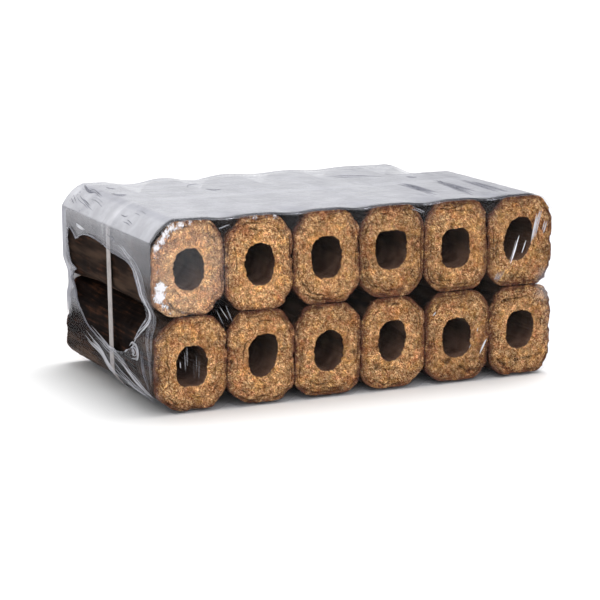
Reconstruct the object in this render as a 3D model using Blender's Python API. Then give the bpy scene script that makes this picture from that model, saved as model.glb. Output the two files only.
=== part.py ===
"""A shrink-wrapped pack of twelve pressed wood briquettes: two rows of six logs, a strap and a film sleeve.

Metres, +Z up. The origin is the middle of the pack's underside. The logs' front ends face -Y, and the
row of six runs along X, from column 1 at -X to column 6 at +X.
"""

import math
import random

import bmesh
import bpy

MM = 0.001

# The logs: each row's widths from left to right, and the X of its left side
LOG_LENGTH = 204 * MM
ROW_PITCH = 72.5 * MM
LOG_WIDTHS = {
    "top": [58.5 * MM, 56.0 * MM, 56.5 * MM, 56.5 * MM, 56.5 * MM, 56.5 * MM],
    "bottom": [58.5 * MM, 56.0 * MM, 56.5 * MM, 56.5 * MM, 57.5 * MM, 54.0 * MM],
}
ROW_START = {"top": -170.3 * MM, "bottom": -168.5 * MM}
CHAMFER_X = 9.5 * MM
CHAMFER_Z = 13.0 * MM
OUTER_CHAMFER_X = 13.0 * MM
OUTER_CHAMFER_Z = 17.0 * MM
CHAMFER_SPREAD = 0.15
CORNER_CUT = 0.17
SIDE_HOLLOW = 0.6 * MM
NEIGHBOUR_GAP = 0.6 * MM

# The hole along each log, and where its centre lies from the middle of the log's section
HOLE_WIDTH = 24.5 * MM
HOLE_HEIGHT = 32.0 * MM
HOLE_SQUARENESS = 2.5
HOLE_SPREAD = 0.05
HOLE_SHIFT = {
    "top": [(0.0, -0.5), (0.5, -1.0), (-0.5, 0.0), (-1.0, 1.0), (-0.5, -1.5), (-1.0, 2.0)],
    "bottom": [(0.5, -2.0), (1.0, 0.5), (0.5, -1.0), (-1.5, 1.5), (-1.0, -1.0), (0.5, 0.5)],
}

# The broken ends of each log
RIM_DEPTH = 3.5 * MM
RIM_INSET = 2.6 * MM
END_RECESS = 1.6 * MM
END_LUMP = 1.2 * MM
MOUTH_DEPTH = 1.6 * MM
MOUTH_FLARE = 1.5 * MM
BODY_WAVE = 0.7 * MM

# The strap round the middle of the pack, inside the film
STRAP_WIDTH = 9.0 * MM
STRAP_THICKNESS = 0.6 * MM
STRAP_Y = -7.0 * MM
STRAP_LAP_LENGTH = 28.0 * MM
STRAP_LAP_STEP = 0.4 * MM
STRAP_CORNER = 5.0 * MM

# The film sleeve
FILM_THICKNESS = 0.4 * MM
TOUCH_GAP = 0.3 * MM
FILM_EDGE_RADIUS = 4.0 * MM
FILM_TOP_SAG = 2.0 * MM
FILM_BOTTOM_ARCH = 4.5 * MM
FILM_DIAMOND_DIP = 1.5 * MM
FILM_WAIST_DIP = 4.0 * MM
FILM_WAIST_REACH = 15.0 * MM

# The edge of the opening in each side end of the sleeve, from its front tip down and round:
# distance behind the logs' front ends and height above their base
LEFT_OPENING = [
    (21, 74), (27, 63), (39, 53), (52, 41), (86, 34), (125, 38), (158, 45), (174, 57), (181, 67), (186, 80),
    (196, 91), (195, 110), (182, 111), (152, 111), (121, 111), (89, 108), (62, 107), (43, 103), (31, 90),
]
RIGHT_OPENING = [
    (24, 73), (30, 57), (46, 44), (70, 37), (102, 35), (136, 37), (162, 45), (176, 58),
    (181, 74), (176, 90), (162, 103), (136, 110), (102, 111), (70, 109), (44, 102), (29, 89),
]

SEED = 7


def seams(row):
    """The X of the row's left side, of each joint between two logs, and of its right side."""
    found = [ROW_START[row]]
    for width in LOG_WIDTHS[row]:
        found.append(found[-1] + width)
    return found


# Worked out from the values above
CLEARANCE = 2 * TOUCH_GAP + STRAP_THICKNESS
BASE_Z = CLEARANCE + FILM_THICKNESS
HALF_LENGTH = LOG_LENGTH / 2
HALF_WIDTH = max(abs(seams(row)[end]) for row in LOG_WIDTHS for end in (0, -1))
STACK_MIDDLE = BASE_Z + ROW_PITCH


def material(name, colour, roughness, alpha=1.0):
    """A plain Principled material."""
    made = bpy.data.materials.new(name)
    made.use_nodes = True
    shader = made.node_tree.nodes["Principled BSDF"]
    shader.inputs["Base Color"].default_value = (*colour, 1.0)
    shader.inputs["Roughness"].default_value = roughness
    shader.inputs["Metallic"].default_value = 0.0
    shader.inputs["Alpha"].default_value = alpha
    return made


def skin(name, rings, finish, ring_closed=True):
    """An object whose surface joins each ring of points to the next, and the last to the first if ring_closed."""
    bm = bmesh.new()
    loops = [[bm.verts.new(point) for point in ring] for ring in rings]
    following = loops[1:] + loops[:1] if ring_closed else loops[1:]
    for here, there in zip(loops, following):
        for i in range(len(here)):
            j = (i + 1) % len(here)
            bm.faces.new((here[i], here[j], there[j], there[i]))
    bmesh.ops.recalc_face_normals(bm, faces=bm.faces)
    mesh = bpy.data.meshes.new(name)
    bm.to_mesh(mesh)
    bm.free()
    mesh.materials.append(finish)
    obj = bpy.data.objects.new(name, mesh)
    bpy.context.scene.collection.objects.link(obj)
    return obj


def toward(a, b, share):
    """The point this share of the way from a to b."""
    return tuple(p + (q - p) * share for p, q in zip(a, b))


def smooth_closed(points, steps):
    """A closed smooth curve through the points, with this many steps between each two."""
    made = []
    for k in range(len(points) * steps):
        i, t = k // steps, k % steps / steps
        p0, p1, p2, p3 = (points[(i + step) % len(points)] for step in (-1, 0, 1, 2))
        made.append(tuple(
            0.5 * (2 * b + (c - a) * t + (2 * a - 5 * b + 4 * c - d) * t * t + (3 * b - a - 3 * c + d) * t ** 3)
            for a, b, c, d in zip(p0, p1, p2, p3)
        ))
    return made


def spaced_evenly(curve, count):
    """The curve as this many points at even distances along it, beginning at its first point."""
    lengths = [0.0]
    for here, there in zip(curve, curve[1:] + curve[:1]):
        lengths.append(lengths[-1] + math.dist(here, there))
    made = []
    for k in range(count):
        wanted = lengths[-1] * k / count
        i = max(index for index, length in enumerate(lengths) if length <= wanted)
        share = (wanted - lengths[i]) / (lengths[i + 1] - lengths[i])
        made.append(toward(curve[i], curve[(i + 1) % len(curve)], share))
    return made


def octagon(width, height, chamfers):
    """The eight corners of a log's section, anticlockwise from the lower right side, about its middle."""
    x, z = width / 2, height / 2
    south_east, north_east, north_west, south_west = chamfers
    return [
        (x, -z + south_east[1]),
        (x, z - north_east[1]),
        (x - north_east[0], z),
        (-x + north_west[0], z),
        (-x, z - north_west[1]),
        (-x, -z + south_west[1]),
        (-x + south_west[0], -z),
        (x - south_east[0], -z),
    ]


def worn_outline(corners, rng):
    """The octagon with each corner cut short and the middle of each long side a little hollow: 20 points."""
    points = []
    for i, (x, z) in enumerate(corners):
        before = corners[i - 1]
        after = corners[(i + 1) % len(corners)]
        for other in (before, after):
            cut = CORNER_CUT * (1 + rng.uniform(-0.3, 0.3))
            points.append((x + (other[0] - x) * cut, z + (other[1] - z) * cut))
        if i % 2 == 0:
            hollow = 1 - rng.uniform(0, SIDE_HOLLOW) / math.hypot(x, z)
            points.append(((x + after[0]) / 2 * hollow, (z + after[1]) / 2 * hollow))
    return points


def hole_outline(outer, section, size, shift):
    """The hole's outline, a superellipse with one point facing each point of the log's outline."""
    power = 2 / HOLE_SQUARENESS
    points = []
    for x, z in outer:
        angle = math.atan2(z / section[1], x / section[0])
        c, s = math.cos(angle), math.sin(angle)
        points.append((
            shift[0] + size[0] / 2 * math.copysign(abs(c) ** power, c),
            shift[1] + size[1] / 2 * math.copysign(abs(s) ** power, s),
        ))
    return points


def shrunk(outline, insets):
    """Each point of an outline moved towards the middle by its own inset."""
    return [
        (x * (1 - inset / math.hypot(x, z)), z * (1 - inset / math.hypot(x, z)))
        for (x, z), inset in zip(outline, insets)
    ]


def log_end(outer, hole, face_y, inward, rng):
    """The rings of one end, from the outline, over the broken rim and face, to just inside the hole."""
    flared = [(x * (1 + MOUTH_FLARE / HOLE_WIDTH), z * (1 + MOUTH_FLARE / HOLE_HEIGHT)) for x, z in hole]
    rim = shrunk(outer, [RIM_INSET * rng.uniform(0.6, 1.2) for _ in outer])
    face = [toward(a, b, 0.45) for a, b in zip(rim, flared)]

    def ring(outline, depth, rough):
        return [(x, face_y + inward * (depth + rng.uniform(0, rough)), z) for x, z in outline]

    return [
        ring(outer, RIM_DEPTH, 0.0),
        ring(rim, 0.2 * RIM_DEPTH, 0.5 * END_LUMP),
        ring(face, 0.0, END_LUMP),
        ring(flared, 0.0, MOUTH_DEPTH),
        ring(hole, 3 * MOUTH_DEPTH, 0.0),
    ]


def log(row, column, left, finish, rng):
    """One log: an eight-sided bar with worn edges, broken ends and a hole along it."""
    width = LOG_WIDTHS[row][column] - NEIGHBOUR_GAP
    height = ROW_PITCH - NEIGHBOUR_GAP
    chamfers = []
    for east, north in ((True, False), (True, True), (False, True), (False, False)):
        at_side = column == (5 if east else 0)
        outer = at_side and north == (row == "top")
        size = (OUTER_CHAMFER_X, OUTER_CHAMFER_Z) if outer else (CHAMFER_X, CHAMFER_Z)
        spread = 1 + rng.uniform(0, CHAMFER_SPREAD)
        chamfers.append((size[0] * spread, size[1] * spread))
    outer = worn_outline(octagon(width, height, chamfers), rng)
    spread = 1 + rng.uniform(-HOLE_SPREAD, HOLE_SPREAD)
    shift = [away * MM for away in HOLE_SHIFT[row][column]]
    hole = hole_outline(outer, (width, height), (HOLE_WIDTH * spread, HOLE_HEIGHT * spread), shift)
    front = -HALF_LENGTH + rng.uniform(0, END_RECESS)
    back = HALF_LENGTH - rng.uniform(0, END_RECESS)

    def body(y):
        narrowed = shrunk(outer, [rng.uniform(0, BODY_WAVE) for _ in outer])
        return [(x, y, z) for x, z in narrowed]

    rings = log_end(outer, hole, front, 1, rng)
    rings += reversed(log_end(outer, hole, back, -1, rng))
    rings += [body(LOG_LENGTH / 6), body(-LOG_LENGTH / 6)]
    centre_x = left + LOG_WIDTHS[row][column] / 2
    centre_z = BASE_Z + ROW_PITCH * (1.5 if row == "top" else 0.5)
    placed = [[(x + centre_x, y, z + centre_z) for x, y, z in ring] for ring in rings]
    return skin(f"briquette_{row}_{column + 1}", placed, finish)


def logs(finish):
    rng = random.Random(SEED)
    for row in LOG_WIDTHS:
        for column, left in enumerate(seams(row)[:-1]):
            log(row, column, left, finish, rng)


def strap_path(offset):
    """The line that the strap follows in X and Z, offset outwards from the stack: corners cut, sides straight."""
    x, z = HALF_WIDTH + offset, ROW_PITCH + offset
    corners = octagon(2 * x, 2 * z, [(OUTER_CHAMFER_X, OUTER_CHAMFER_Z)] * 4)
    path = []
    for i, (cx, cz) in enumerate(corners):
        before, after = corners[i - 1], corners[(i + 1) % len(corners)]
        for other in (before, after):
            reach = math.dist((cx, cz), other)
            path.append((cx + (other[0] - cx) * STRAP_CORNER / reach, cz + (other[1] - cz) * STRAP_CORNER / reach))
    return path


def strap(finish):
    """The band as one closed loop, with the stretch at its right side where the two ends overlap and are welded."""
    inside = strap_path(TOUCH_GAP)
    outside = strap_path(TOUCH_GAP + STRAP_THICKNESS)
    lap = (-STRAP_LAP_LENGTH / 2, -STRAP_LAP_LENGTH / 2 + STRAP_LAP_STEP,
           STRAP_LAP_LENGTH / 2 - STRAP_LAP_STEP, STRAP_LAP_LENGTH / 2)
    lap_in = [(HALF_WIDTH + TOUCH_GAP, z) for z in lap]
    lap_out = [(HALF_WIDTH + TOUCH_GAP + STRAP_THICKNESS * layers, z) for z, layers in zip(lap, (1, 2, 2, 1))]
    lower_right = 1
    inside[lower_right + 1:lower_right + 1] = lap_in
    outside[lower_right + 1:lower_right + 1] = lap_out
    front, back = STRAP_Y - STRAP_WIDTH / 2, STRAP_Y + STRAP_WIDTH / 2
    rings = []
    for (xi, zi), (xo, zo) in zip(inside, outside):
        zi, zo = zi + STACK_MIDDLE, zo + STACK_MIDDLE
        rings.append([(xi, front, zi), (xi, back, zi), (xo, back, zo), (xo, front, zo)])
    return skin("strap", rings, finish)


def sleeve_section():
    """The sleeve's section over the logs, as (kind, y, z) in order round it, about the stack's middle."""
    half_y = HALF_LENGTH + TOUCH_GAP
    half_z = ROW_PITCH + CLEARANCE
    radius = FILM_EDGE_RADIUS
    upright = [step * (half_z - radius) for step in (-0.85, -0.5, -0.2, 0.0, 0.2, 0.5, 0.85)]
    level = [("sag", -80 * MM), ("sag", -40 * MM), ("strap", STRAP_Y - STRAP_WIDTH),
             ("strap", STRAP_Y + STRAP_WIDTH), ("sag", 35 * MM), ("sag", 80 * MM)]
    sides = (
        (2, [("upright", -half_y, -z) for z in upright]),
        (3, [(kind, y, -half_z) for kind, y in level]),
        (0, [("upright", half_y, z) for z in upright]),
        (1, [(kind, y, half_z) for kind, y in reversed(level)]),
    )
    section = []
    for quarter, points in sides:
        section += points
        centre_y = (half_y - radius) * (-1 if quarter in (2, 1) else 1)
        centre_z = (half_z - radius) * (-1 if quarter in (2, 3) else 1)
        for turn in (0.0, 1 / 3, 2 / 3, 1.0):
            angle = math.pi / 2 * (quarter + turn)
            section.append(("corner", centre_y + radius * math.cos(angle), centre_z + radius * math.sin(angle)))
    return section


def opening_border(points, section):
    """The point of the opening's edge that goes with each point of the section, as (y, z) about the stack's middle."""
    edge = [(y * MM - HALF_LENGTH, z * MM - ROW_PITCH) for y, z in smooth_closed(points, 8)]
    even = spaced_evenly(edge, len(section))
    tip = min(range(len(section)), key=lambda i: (abs(section[i][2]), section[i][1]))
    return even[-tip:] + even[:-tip]


def waist(z):
    """How far the film pulls in at a side end, between the two rows."""
    return FILM_WAIST_DIP * max(0.0, 1 - abs(z) / FILM_WAIST_REACH)


def side_rings(direction, opening, section):
    """The rings from the opening's edge, over the side end and round its corner, to the end of the chamfer."""
    side_x = HALF_WIDTH + CLEARANCE
    half_y = HALF_LENGTH + TOUCH_GAP
    half_z = ROW_PITCH + CLEARANCE
    slope = OUTER_CHAMFER_Z / OUTER_CHAMFER_X
    radius = FILM_EDGE_RADIUS
    border = opening_border(opening, section)

    def inset(inset_y, inset_z):
        return [(y * (1 - inset_y / half_y), z * (1 - inset_z / half_z)) for _, y, z in section]

    flat = inset(radius, OUTER_CHAMFER_Z)
    outlines = [
        (0.0, border),
        (0.0, [toward(a, b, 0.5) for a, b in zip(border, flat)]),
        (0.0, flat),
        (0.3 * radius, inset(0.3 * radius, OUTER_CHAMFER_Z - 0.3 * radius * slope)),
        (radius, inset(0.0, OUTER_CHAMFER_Z - radius * slope)),
        (OUTER_CHAMFER_X, inset(0.0, 0.0)),
    ]
    rings = []
    for back_from_side, outline in outlines:
        pull = 1.0 if back_from_side < OUTER_CHAMFER_X / 2 else 0.0
        rings.append([
            (direction * (side_x - back_from_side - pull * waist(z)), y, z + STACK_MIDDLE) for y, z in outline
        ])
    return rings


def sleeve_rings(section):
    """The rings across the pack between its two chamfers: at each joint between logs, and either side of it."""
    rings = []
    tops, bottoms = seams("top"), seams("bottom")
    for joint in range(1, 6):
        for away in (-1, 0, 1):
            ring = []
            for kind, y, z in section:
                share = min(1.0, max(0.0, 0.5 + z / (2 * ROW_PITCH)))
                x = bottoms[joint] + (tops[joint] - bottoms[joint]) * share + away * CHAMFER_X
                if away == 0 and z < -ROW_PITCH + FILM_EDGE_RADIUS and kind in ("sag", "corner"):
                    z += FILM_BOTTOM_ARCH
                elif away == 0 and kind == "sag":
                    z -= FILM_TOP_SAG
                elif away == 0 and kind == "upright" and abs(z) < FILM_EDGE_RADIUS:
                    y -= math.copysign(FILM_DIAMOND_DIP, y)
                ring.append((x, y, z + STACK_MIDDLE))
            rings.append(ring)
    return rings


def film(finish):
    """The film as a thin sheet over the stack, thickened outwards."""
    section = sleeve_section()
    rings = side_rings(-1, LEFT_OPENING, section)
    rings += sleeve_rings(section)
    rings += reversed(side_rings(1, RIGHT_OPENING, section))
    obj = skin("film_wrap", rings, finish, ring_closed=False)
    thick = obj.modifiers.new("thickness", "SOLIDIFY")
    thick.thickness = FILM_THICKNESS
    thick.offset = 1.0
    return obj


def main():
    for obj in list(bpy.data.objects):
        bpy.data.objects.remove(obj)
    pressed_wood = material("pressed wood", (0.40, 0.22, 0.105), 0.9)
    plastic_band = material("plastic band", (0.62, 0.60, 0.58), 0.45)
    clear_film = material("clear film", (0.80, 0.80, 0.84), 0.15, alpha=0.35)
    logs(pressed_wood)
    strap(plastic_band)
    film(clear_film)


main()
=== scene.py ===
"""The looks of a shrink-wrapped pack of pressed wood briquettes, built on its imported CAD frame.

Sizes are in millimetres, unless a comment says otherwise, and each mesh is turned to metres as it is made."""

import itertools
import math

import bpy
import numpy as np
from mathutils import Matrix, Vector
from mathutils.bvhtree import BVHTree


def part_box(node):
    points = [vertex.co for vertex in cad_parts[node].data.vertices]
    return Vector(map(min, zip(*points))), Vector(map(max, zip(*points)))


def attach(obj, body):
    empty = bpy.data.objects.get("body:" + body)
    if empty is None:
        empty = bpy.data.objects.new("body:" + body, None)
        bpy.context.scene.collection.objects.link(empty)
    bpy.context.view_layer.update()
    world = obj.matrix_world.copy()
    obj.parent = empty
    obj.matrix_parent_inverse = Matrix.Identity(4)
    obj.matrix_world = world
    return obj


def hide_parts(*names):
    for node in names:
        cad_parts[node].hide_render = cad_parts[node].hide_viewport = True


MM = 0.001
# Farther than any part of the pack
FAR = 1000.0
NOISE_LAYERS = 3
ROWS = ("top", "bottom")
COLUMNS = 6

# The camera: place in metres, angle to the right and down, and focal length on a 36 mm sensor
CAMERA_PLACE = (-0.7166, -1.5426, 0.4022)
CAMERA_YAW = 24.8
CAMERA_PITCH = 11.5
CAMERA_LENS = 128.0
CAMERA_SENSOR = 36.0

# The light: a low even level, what each wall of the studio adds (axis, where it starts and ends, strength),
# and a large key lamp above, a little behind and to the right
STUDIO_LEAST = 0.17
STUDIO_WALLS = (("Y", 0.35, 0.85, 0.77), ("Y", -0.32, -0.95, 1.50), ("X", -0.40, -0.95, 0.40),
                ("X", 0.0, 0.9, 0.20), ("Z", 0.30, 0.95, 0.35))
KEY_FROM = (0.32, 0.18, 1.30)
KEY_STRENGTH = 2.5
KEY_SPREAD = 36.0

# The floor: how light it is, and how far it runs each way in metres
FLOOR_TONE = 0.88
FLOOR_REACH = 40.0

# The logs' mesh: points round a log and rings along each stretch of it
ROUND = 176
FACE_RINGS = {"front": 38, "back": 16}
RIM_RINGS = 5
MOUTH_RINGS = 5
BORE_RINGS = 13
SIDE_RINGS = {"inner": 44, "outer": 104}

# How light each log's wood is, and how much paler the first one is painted, as painted light from the film's
# milky glare over it
TONES = {"top": (1.40, 1.36, 1.24, 0.93, 1.07, 0.95), "bottom": (1.2, 1.25, 1.13, 1.14, 0.98, 1.04)}
PAINTED_FILM_GLARE = {("top", 0): 0.135}

# The logs' shape: edges, the outline and the hole, and how far an outline swells to touch the next one
RIM_RADIUS = 0.55
MOUTH_RADIUS = 0.5
FACE_SETBACK = 0.2
FACE_CROWN = 0.4
OUTLINE_WOBBLE = 1.1
HOLE_WOBBLE = 1.4
HOLE_CHIPPING = 1.5
CORNER_SOFTENING = 9
TOUCHING = 0.25

# The broken ends: the sizes of chips, crumbs and bites, their depths, and how far along a side they reach
CHIP_SIZE = 1.9
CHIP_DEPTH = 0.70
CHIP_SEAM = 0.45
CRUMB_SIZE = 5.5
CRUMB_DEPTH = 1.1
CRACK_DEPTH = 2.4
BITE_SIZE = 6
BITE_DEPTH = 2.2
END_WAVE = 1.3
END_REACH = 9.0
LIGHT_END = 2.2
LIGHT_END_RAGGED = 4.0

# The scorched skin of the sides and the hole's wall
SKIN_RIDGES = (3.4, 40, 3.4)
SKIN_DEPTH = 0.60
SKIN_CHIP_DEPTH = 0.5
BORE_ROUGHNESS = 0.8

# How the end columns differ from the solids: the first bottom log leans out low at its back, both first logs
# are fuller where they meet at the back, and the last logs lean out on the right, the film with them
JOINT_LEVEL = 74.1
FIRST_LEAN = 2.4
FIRST_FILL = 6.0
FILL_REACH = {"top": 7, "bottom": 11}
LAST_LEAN = 2.4
LAST_FILL = 3.4
LEAN_GAP = 0.5

# How far each log's corners are cut off, across and up: upper left, upper right, lower right and lower left
CORNER_CUTS = {
    "top": (
        ((17, 20), (10, 15), (13, 15), (13, 10)),
        ((14, 16), (12, 14), (10, 13), (10, 13)),
        ((11, 16), (11, 13), (10, 13), (11, 13)),
        ((11, 15), (11, 13), (11, 14), (13, 12)),
        ((9, 15), (9, 13), (10, 12), (11, 13)),
        ((15, 14), (10, 15), (8, 13), (10, 11)),
    ),
    "bottom": (
        ((16, 15), (11, 14), (11, 15), (16, 12)),
        ((10, 13), (11, 16), (11, 10), (15, 11)),
        ((10, 15), (11, 13), (9, 9), (11, 10)),
        ((11, 16), (14, 13), (15, 13), (11, 9)),
        ((9, 13), (10, 12), (11, 13), (13, 9)),
        ((10, 14), (6, 11), (8, 10), (10, 11)),
    ),
}

# Each log's hole: its width and height, how square its upper and lower halves are (2 is round) and how far it
# leans to the right
HOLES = {
    "top": (
        (24.2, 30.8, 2.4, 2.4, 0.0), (24.2, 32.0, 2.2, 2.2, 0.0), (25.3, 32.5, 2.6, 2.6, 0.0),
        (26.9, 30.6, 4.0, 2.2, 0.0), (25.0, 31.0, 3.2, 3.0, 0.0), (24.3, 34.6, 2.4, 2.3, 0.14),
    ),
    "bottom": (
        (24.5, 31.0, 2.6, 3.4, 0.0), (23.4, 33.0, 2.9, 2.1, 0.10), (24.4, 31.6, 2.3, 2.3, 0.05),
        (23.2, 31.9, 2.8, 2.1, 0.08), (25.0, 32.0, 2.4, 2.4, 0.0), (24.1, 30.6, 2.8, 2.3, 0.06),
    ),
}

# Cracks and pits of the broken ends, cut in and darkened with painted shade: half width, and a line to the
# right of and above the hole's middle
CRACKS = {
    "top": (
        [(0.7, [(-17, -23), (-14, -27), (-9, -31), (-1, -34)]), (0.4, [(-11, -14), (-6, -20), (-3, -23)])],
        [(0.5, [(-15, 27), (-8, 28), (2, 25)]), (0.5, [(14, -12), (19, -4), (20, 8)])],
        [(0.7, [(-18, -27), (-8, -32), (6, -33), (16, -30)]),
         (0.5, [(-20, -20), (-12, -27), (0, -29), (12, -28)])],
        [(0.8, [(-22, -7), (-23, -17), (-15, -26), (-2, -32), (9, -32)]), (0.5, [(15, -1), (24, 7)]),
         (0.6, [(10, -22), (18, -20), (22, -12)])],
        [(0.6, [(-27, -17), (-20, -26), (-6, -31)]), (0.4, [(-19, -16), (-9, -24)]),
         (1.2, [(-20, 1), (-18, 1)])],
        [(0.7, [(-17, -34), (-3, -36), (10, -35), (20, -33)]), (0.4, [(14, 8), (20, -6)])],
    ),
    "bottom": (
        [(0.6, [(-28, 0), (-27, -7), (-23, -14)]), (0.35, [(-20, 22), (-19, 3), (-19, -12)]),
         (0.6, [(-24, -21), (-17, -28), (-6, -33)])],
        [(0.6, [(-9, 15), (-14, 9), (-16, 3), (-16, -4)]), (0.5, [(-2, -14), (3, -20)]),
         (0.4, [(12, -9), (7, -14), (2, -18)])],
        [(0.4, [(-22, -20), (-11, -26), (3, -26)]), (0.9, [(-5, 22), (-4, 20)]),
         (0.8, [(8, 27), (10, 24)])],
        [(1.4, [(15, 23), (17, 20)]), (0.4, [(-19, -27), (-7, -34), (6, -35)])],
        [(1.5, [(-10, -18), (-6, -18)]), (1.3, [(3, -24), (11, -29), (20, -26)]),
         (0.5, [(-6, 25), (7, 23)])],
        [(1.0, [(-22, 22), (-15, 24), (-6, 25), (6, 27)]), (1.0, [(-4, -25), (7, -24), (19, -21)]),
         (2.0, [(-19, -23), (-14, -28), (-17, -32)])],
    ),
}

# The back corner of the last log of the top row is worn down, and the film droops over it
DROOP = 10.5

# The film sleeve's mesh: points round its section and rings along it
FILM_FRONT = 128
FILM_BOTTOM = 58
FILM_BACK = 100
FILM_TOP = 110
FILM_CORNER = 8
HEM_RINGS = 10
SIDE_END_RINGS = 36
SHOULDER_RINGS = 19
ACROSS_RINGS = 104

# The sleeve's edges, and how far it dips and arches: over and under the logs' joints, and between the rows
FILM_SKIN = 0.2
CORNER_RADIUS = 2.0
SHOULDER_X = 13.0
SHOULDER_Z = 17.0
HEM_RADIUS = 0.5
TOP_SAG = {"middle": 0.3, "front": 1.6}
BACK_SAG = (3.4, 3.2, 1.3, 1.2, 0.4)
BOTTOM_ARCH = 4.5
FRONT_DIP = 1.5
TOP_NOTCH = 21.0
BACK_NOTCH = 27.0
BOTTOM_NOTCH = 9.5
WAIST_DIP = 4.0
WAIST_REACH = 17.0
BACK_TUCK = 2.6
SNUG = 0.8

# How far the film's soft creases stand up: along the opening's edge, fanning, upright, and the fine wrinkles
CREASE_HEIGHTS = (1.2, 1.2, 1.0)
WRINKLE_HEIGHT = 0.5

# How milky the film is over each part of the pack, and at its soft creases
HAZE = {"top": 0.80, "flat": 0.10, "side": 0.31, "side front": 0.11, "least": 0.012, "behind": 0.55,
        "upmost": 0.10, "over strap": 1.15, "back edge": 0.88, "groove": 0.92, "first face": 0.045,
        "notch": 0.022, "bridge": 0.16}
CREASE_HAZE = (0.24, 0.07, 0.05)

# Painted shade on the milky film over each part of the pack: the side end darkened as it lies in shade,
# more toward its front; dark patches behind the gap between the rows, in the groove and at the back edge,
# where only shade is seen; the top's grey, partly the film's own tone and partly painted shade, darker on
# the flat than on the shoulder and darker toward the right; less shade over the strap where it shows
# through, and painted light toward the left of the top
PAINTED_SHADE = {"top": 0.38, "flat": 0.34, "right": 0.20, "side": 0.40, "side front": 0.04, "behind": 0.72,
         "groove": 0.8, "back edge": 0.78, "strap": 0.14, "left": 0.07}
SHARP_FOLD_GLOSS = 0.2

# The edge of the opening in each side end of the film, from its front tip down and round: how far behind the
# log ends and above their base
LEFT_OPENING = [
    (20, 74), (21, 68), (27, 60), (34, 51), (41, 44), (47, 42), (62, 36), (80, 34), (100, 35), (124, 38),
    (143, 42), (156, 47), (168, 53), (177, 60), (184, 66), (189, 72), (183, 77), (173, 81), (180, 84),
    (184, 89), (187, 96), (188, 104), (186, 112), (181, 114), (173, 111), (165, 107), (158, 110),
    (146, 113), (129, 114), (110, 113), (97, 111), (83, 110), (65, 109), (49, 108), (39, 105), (31, 98),
    (25, 90), (20, 82),
]
RIGHT_OPENING = [
    (24, 73), (26, 64), (32, 56), (46, 44), (70, 37), (102, 35), (136, 37), (158, 42), (169, 50), (177, 60),
    (182, 73), (180, 84), (173, 95), (162, 103), (136, 110), (102, 111), (70, 109), (44, 102), (29, 89),
]
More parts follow.
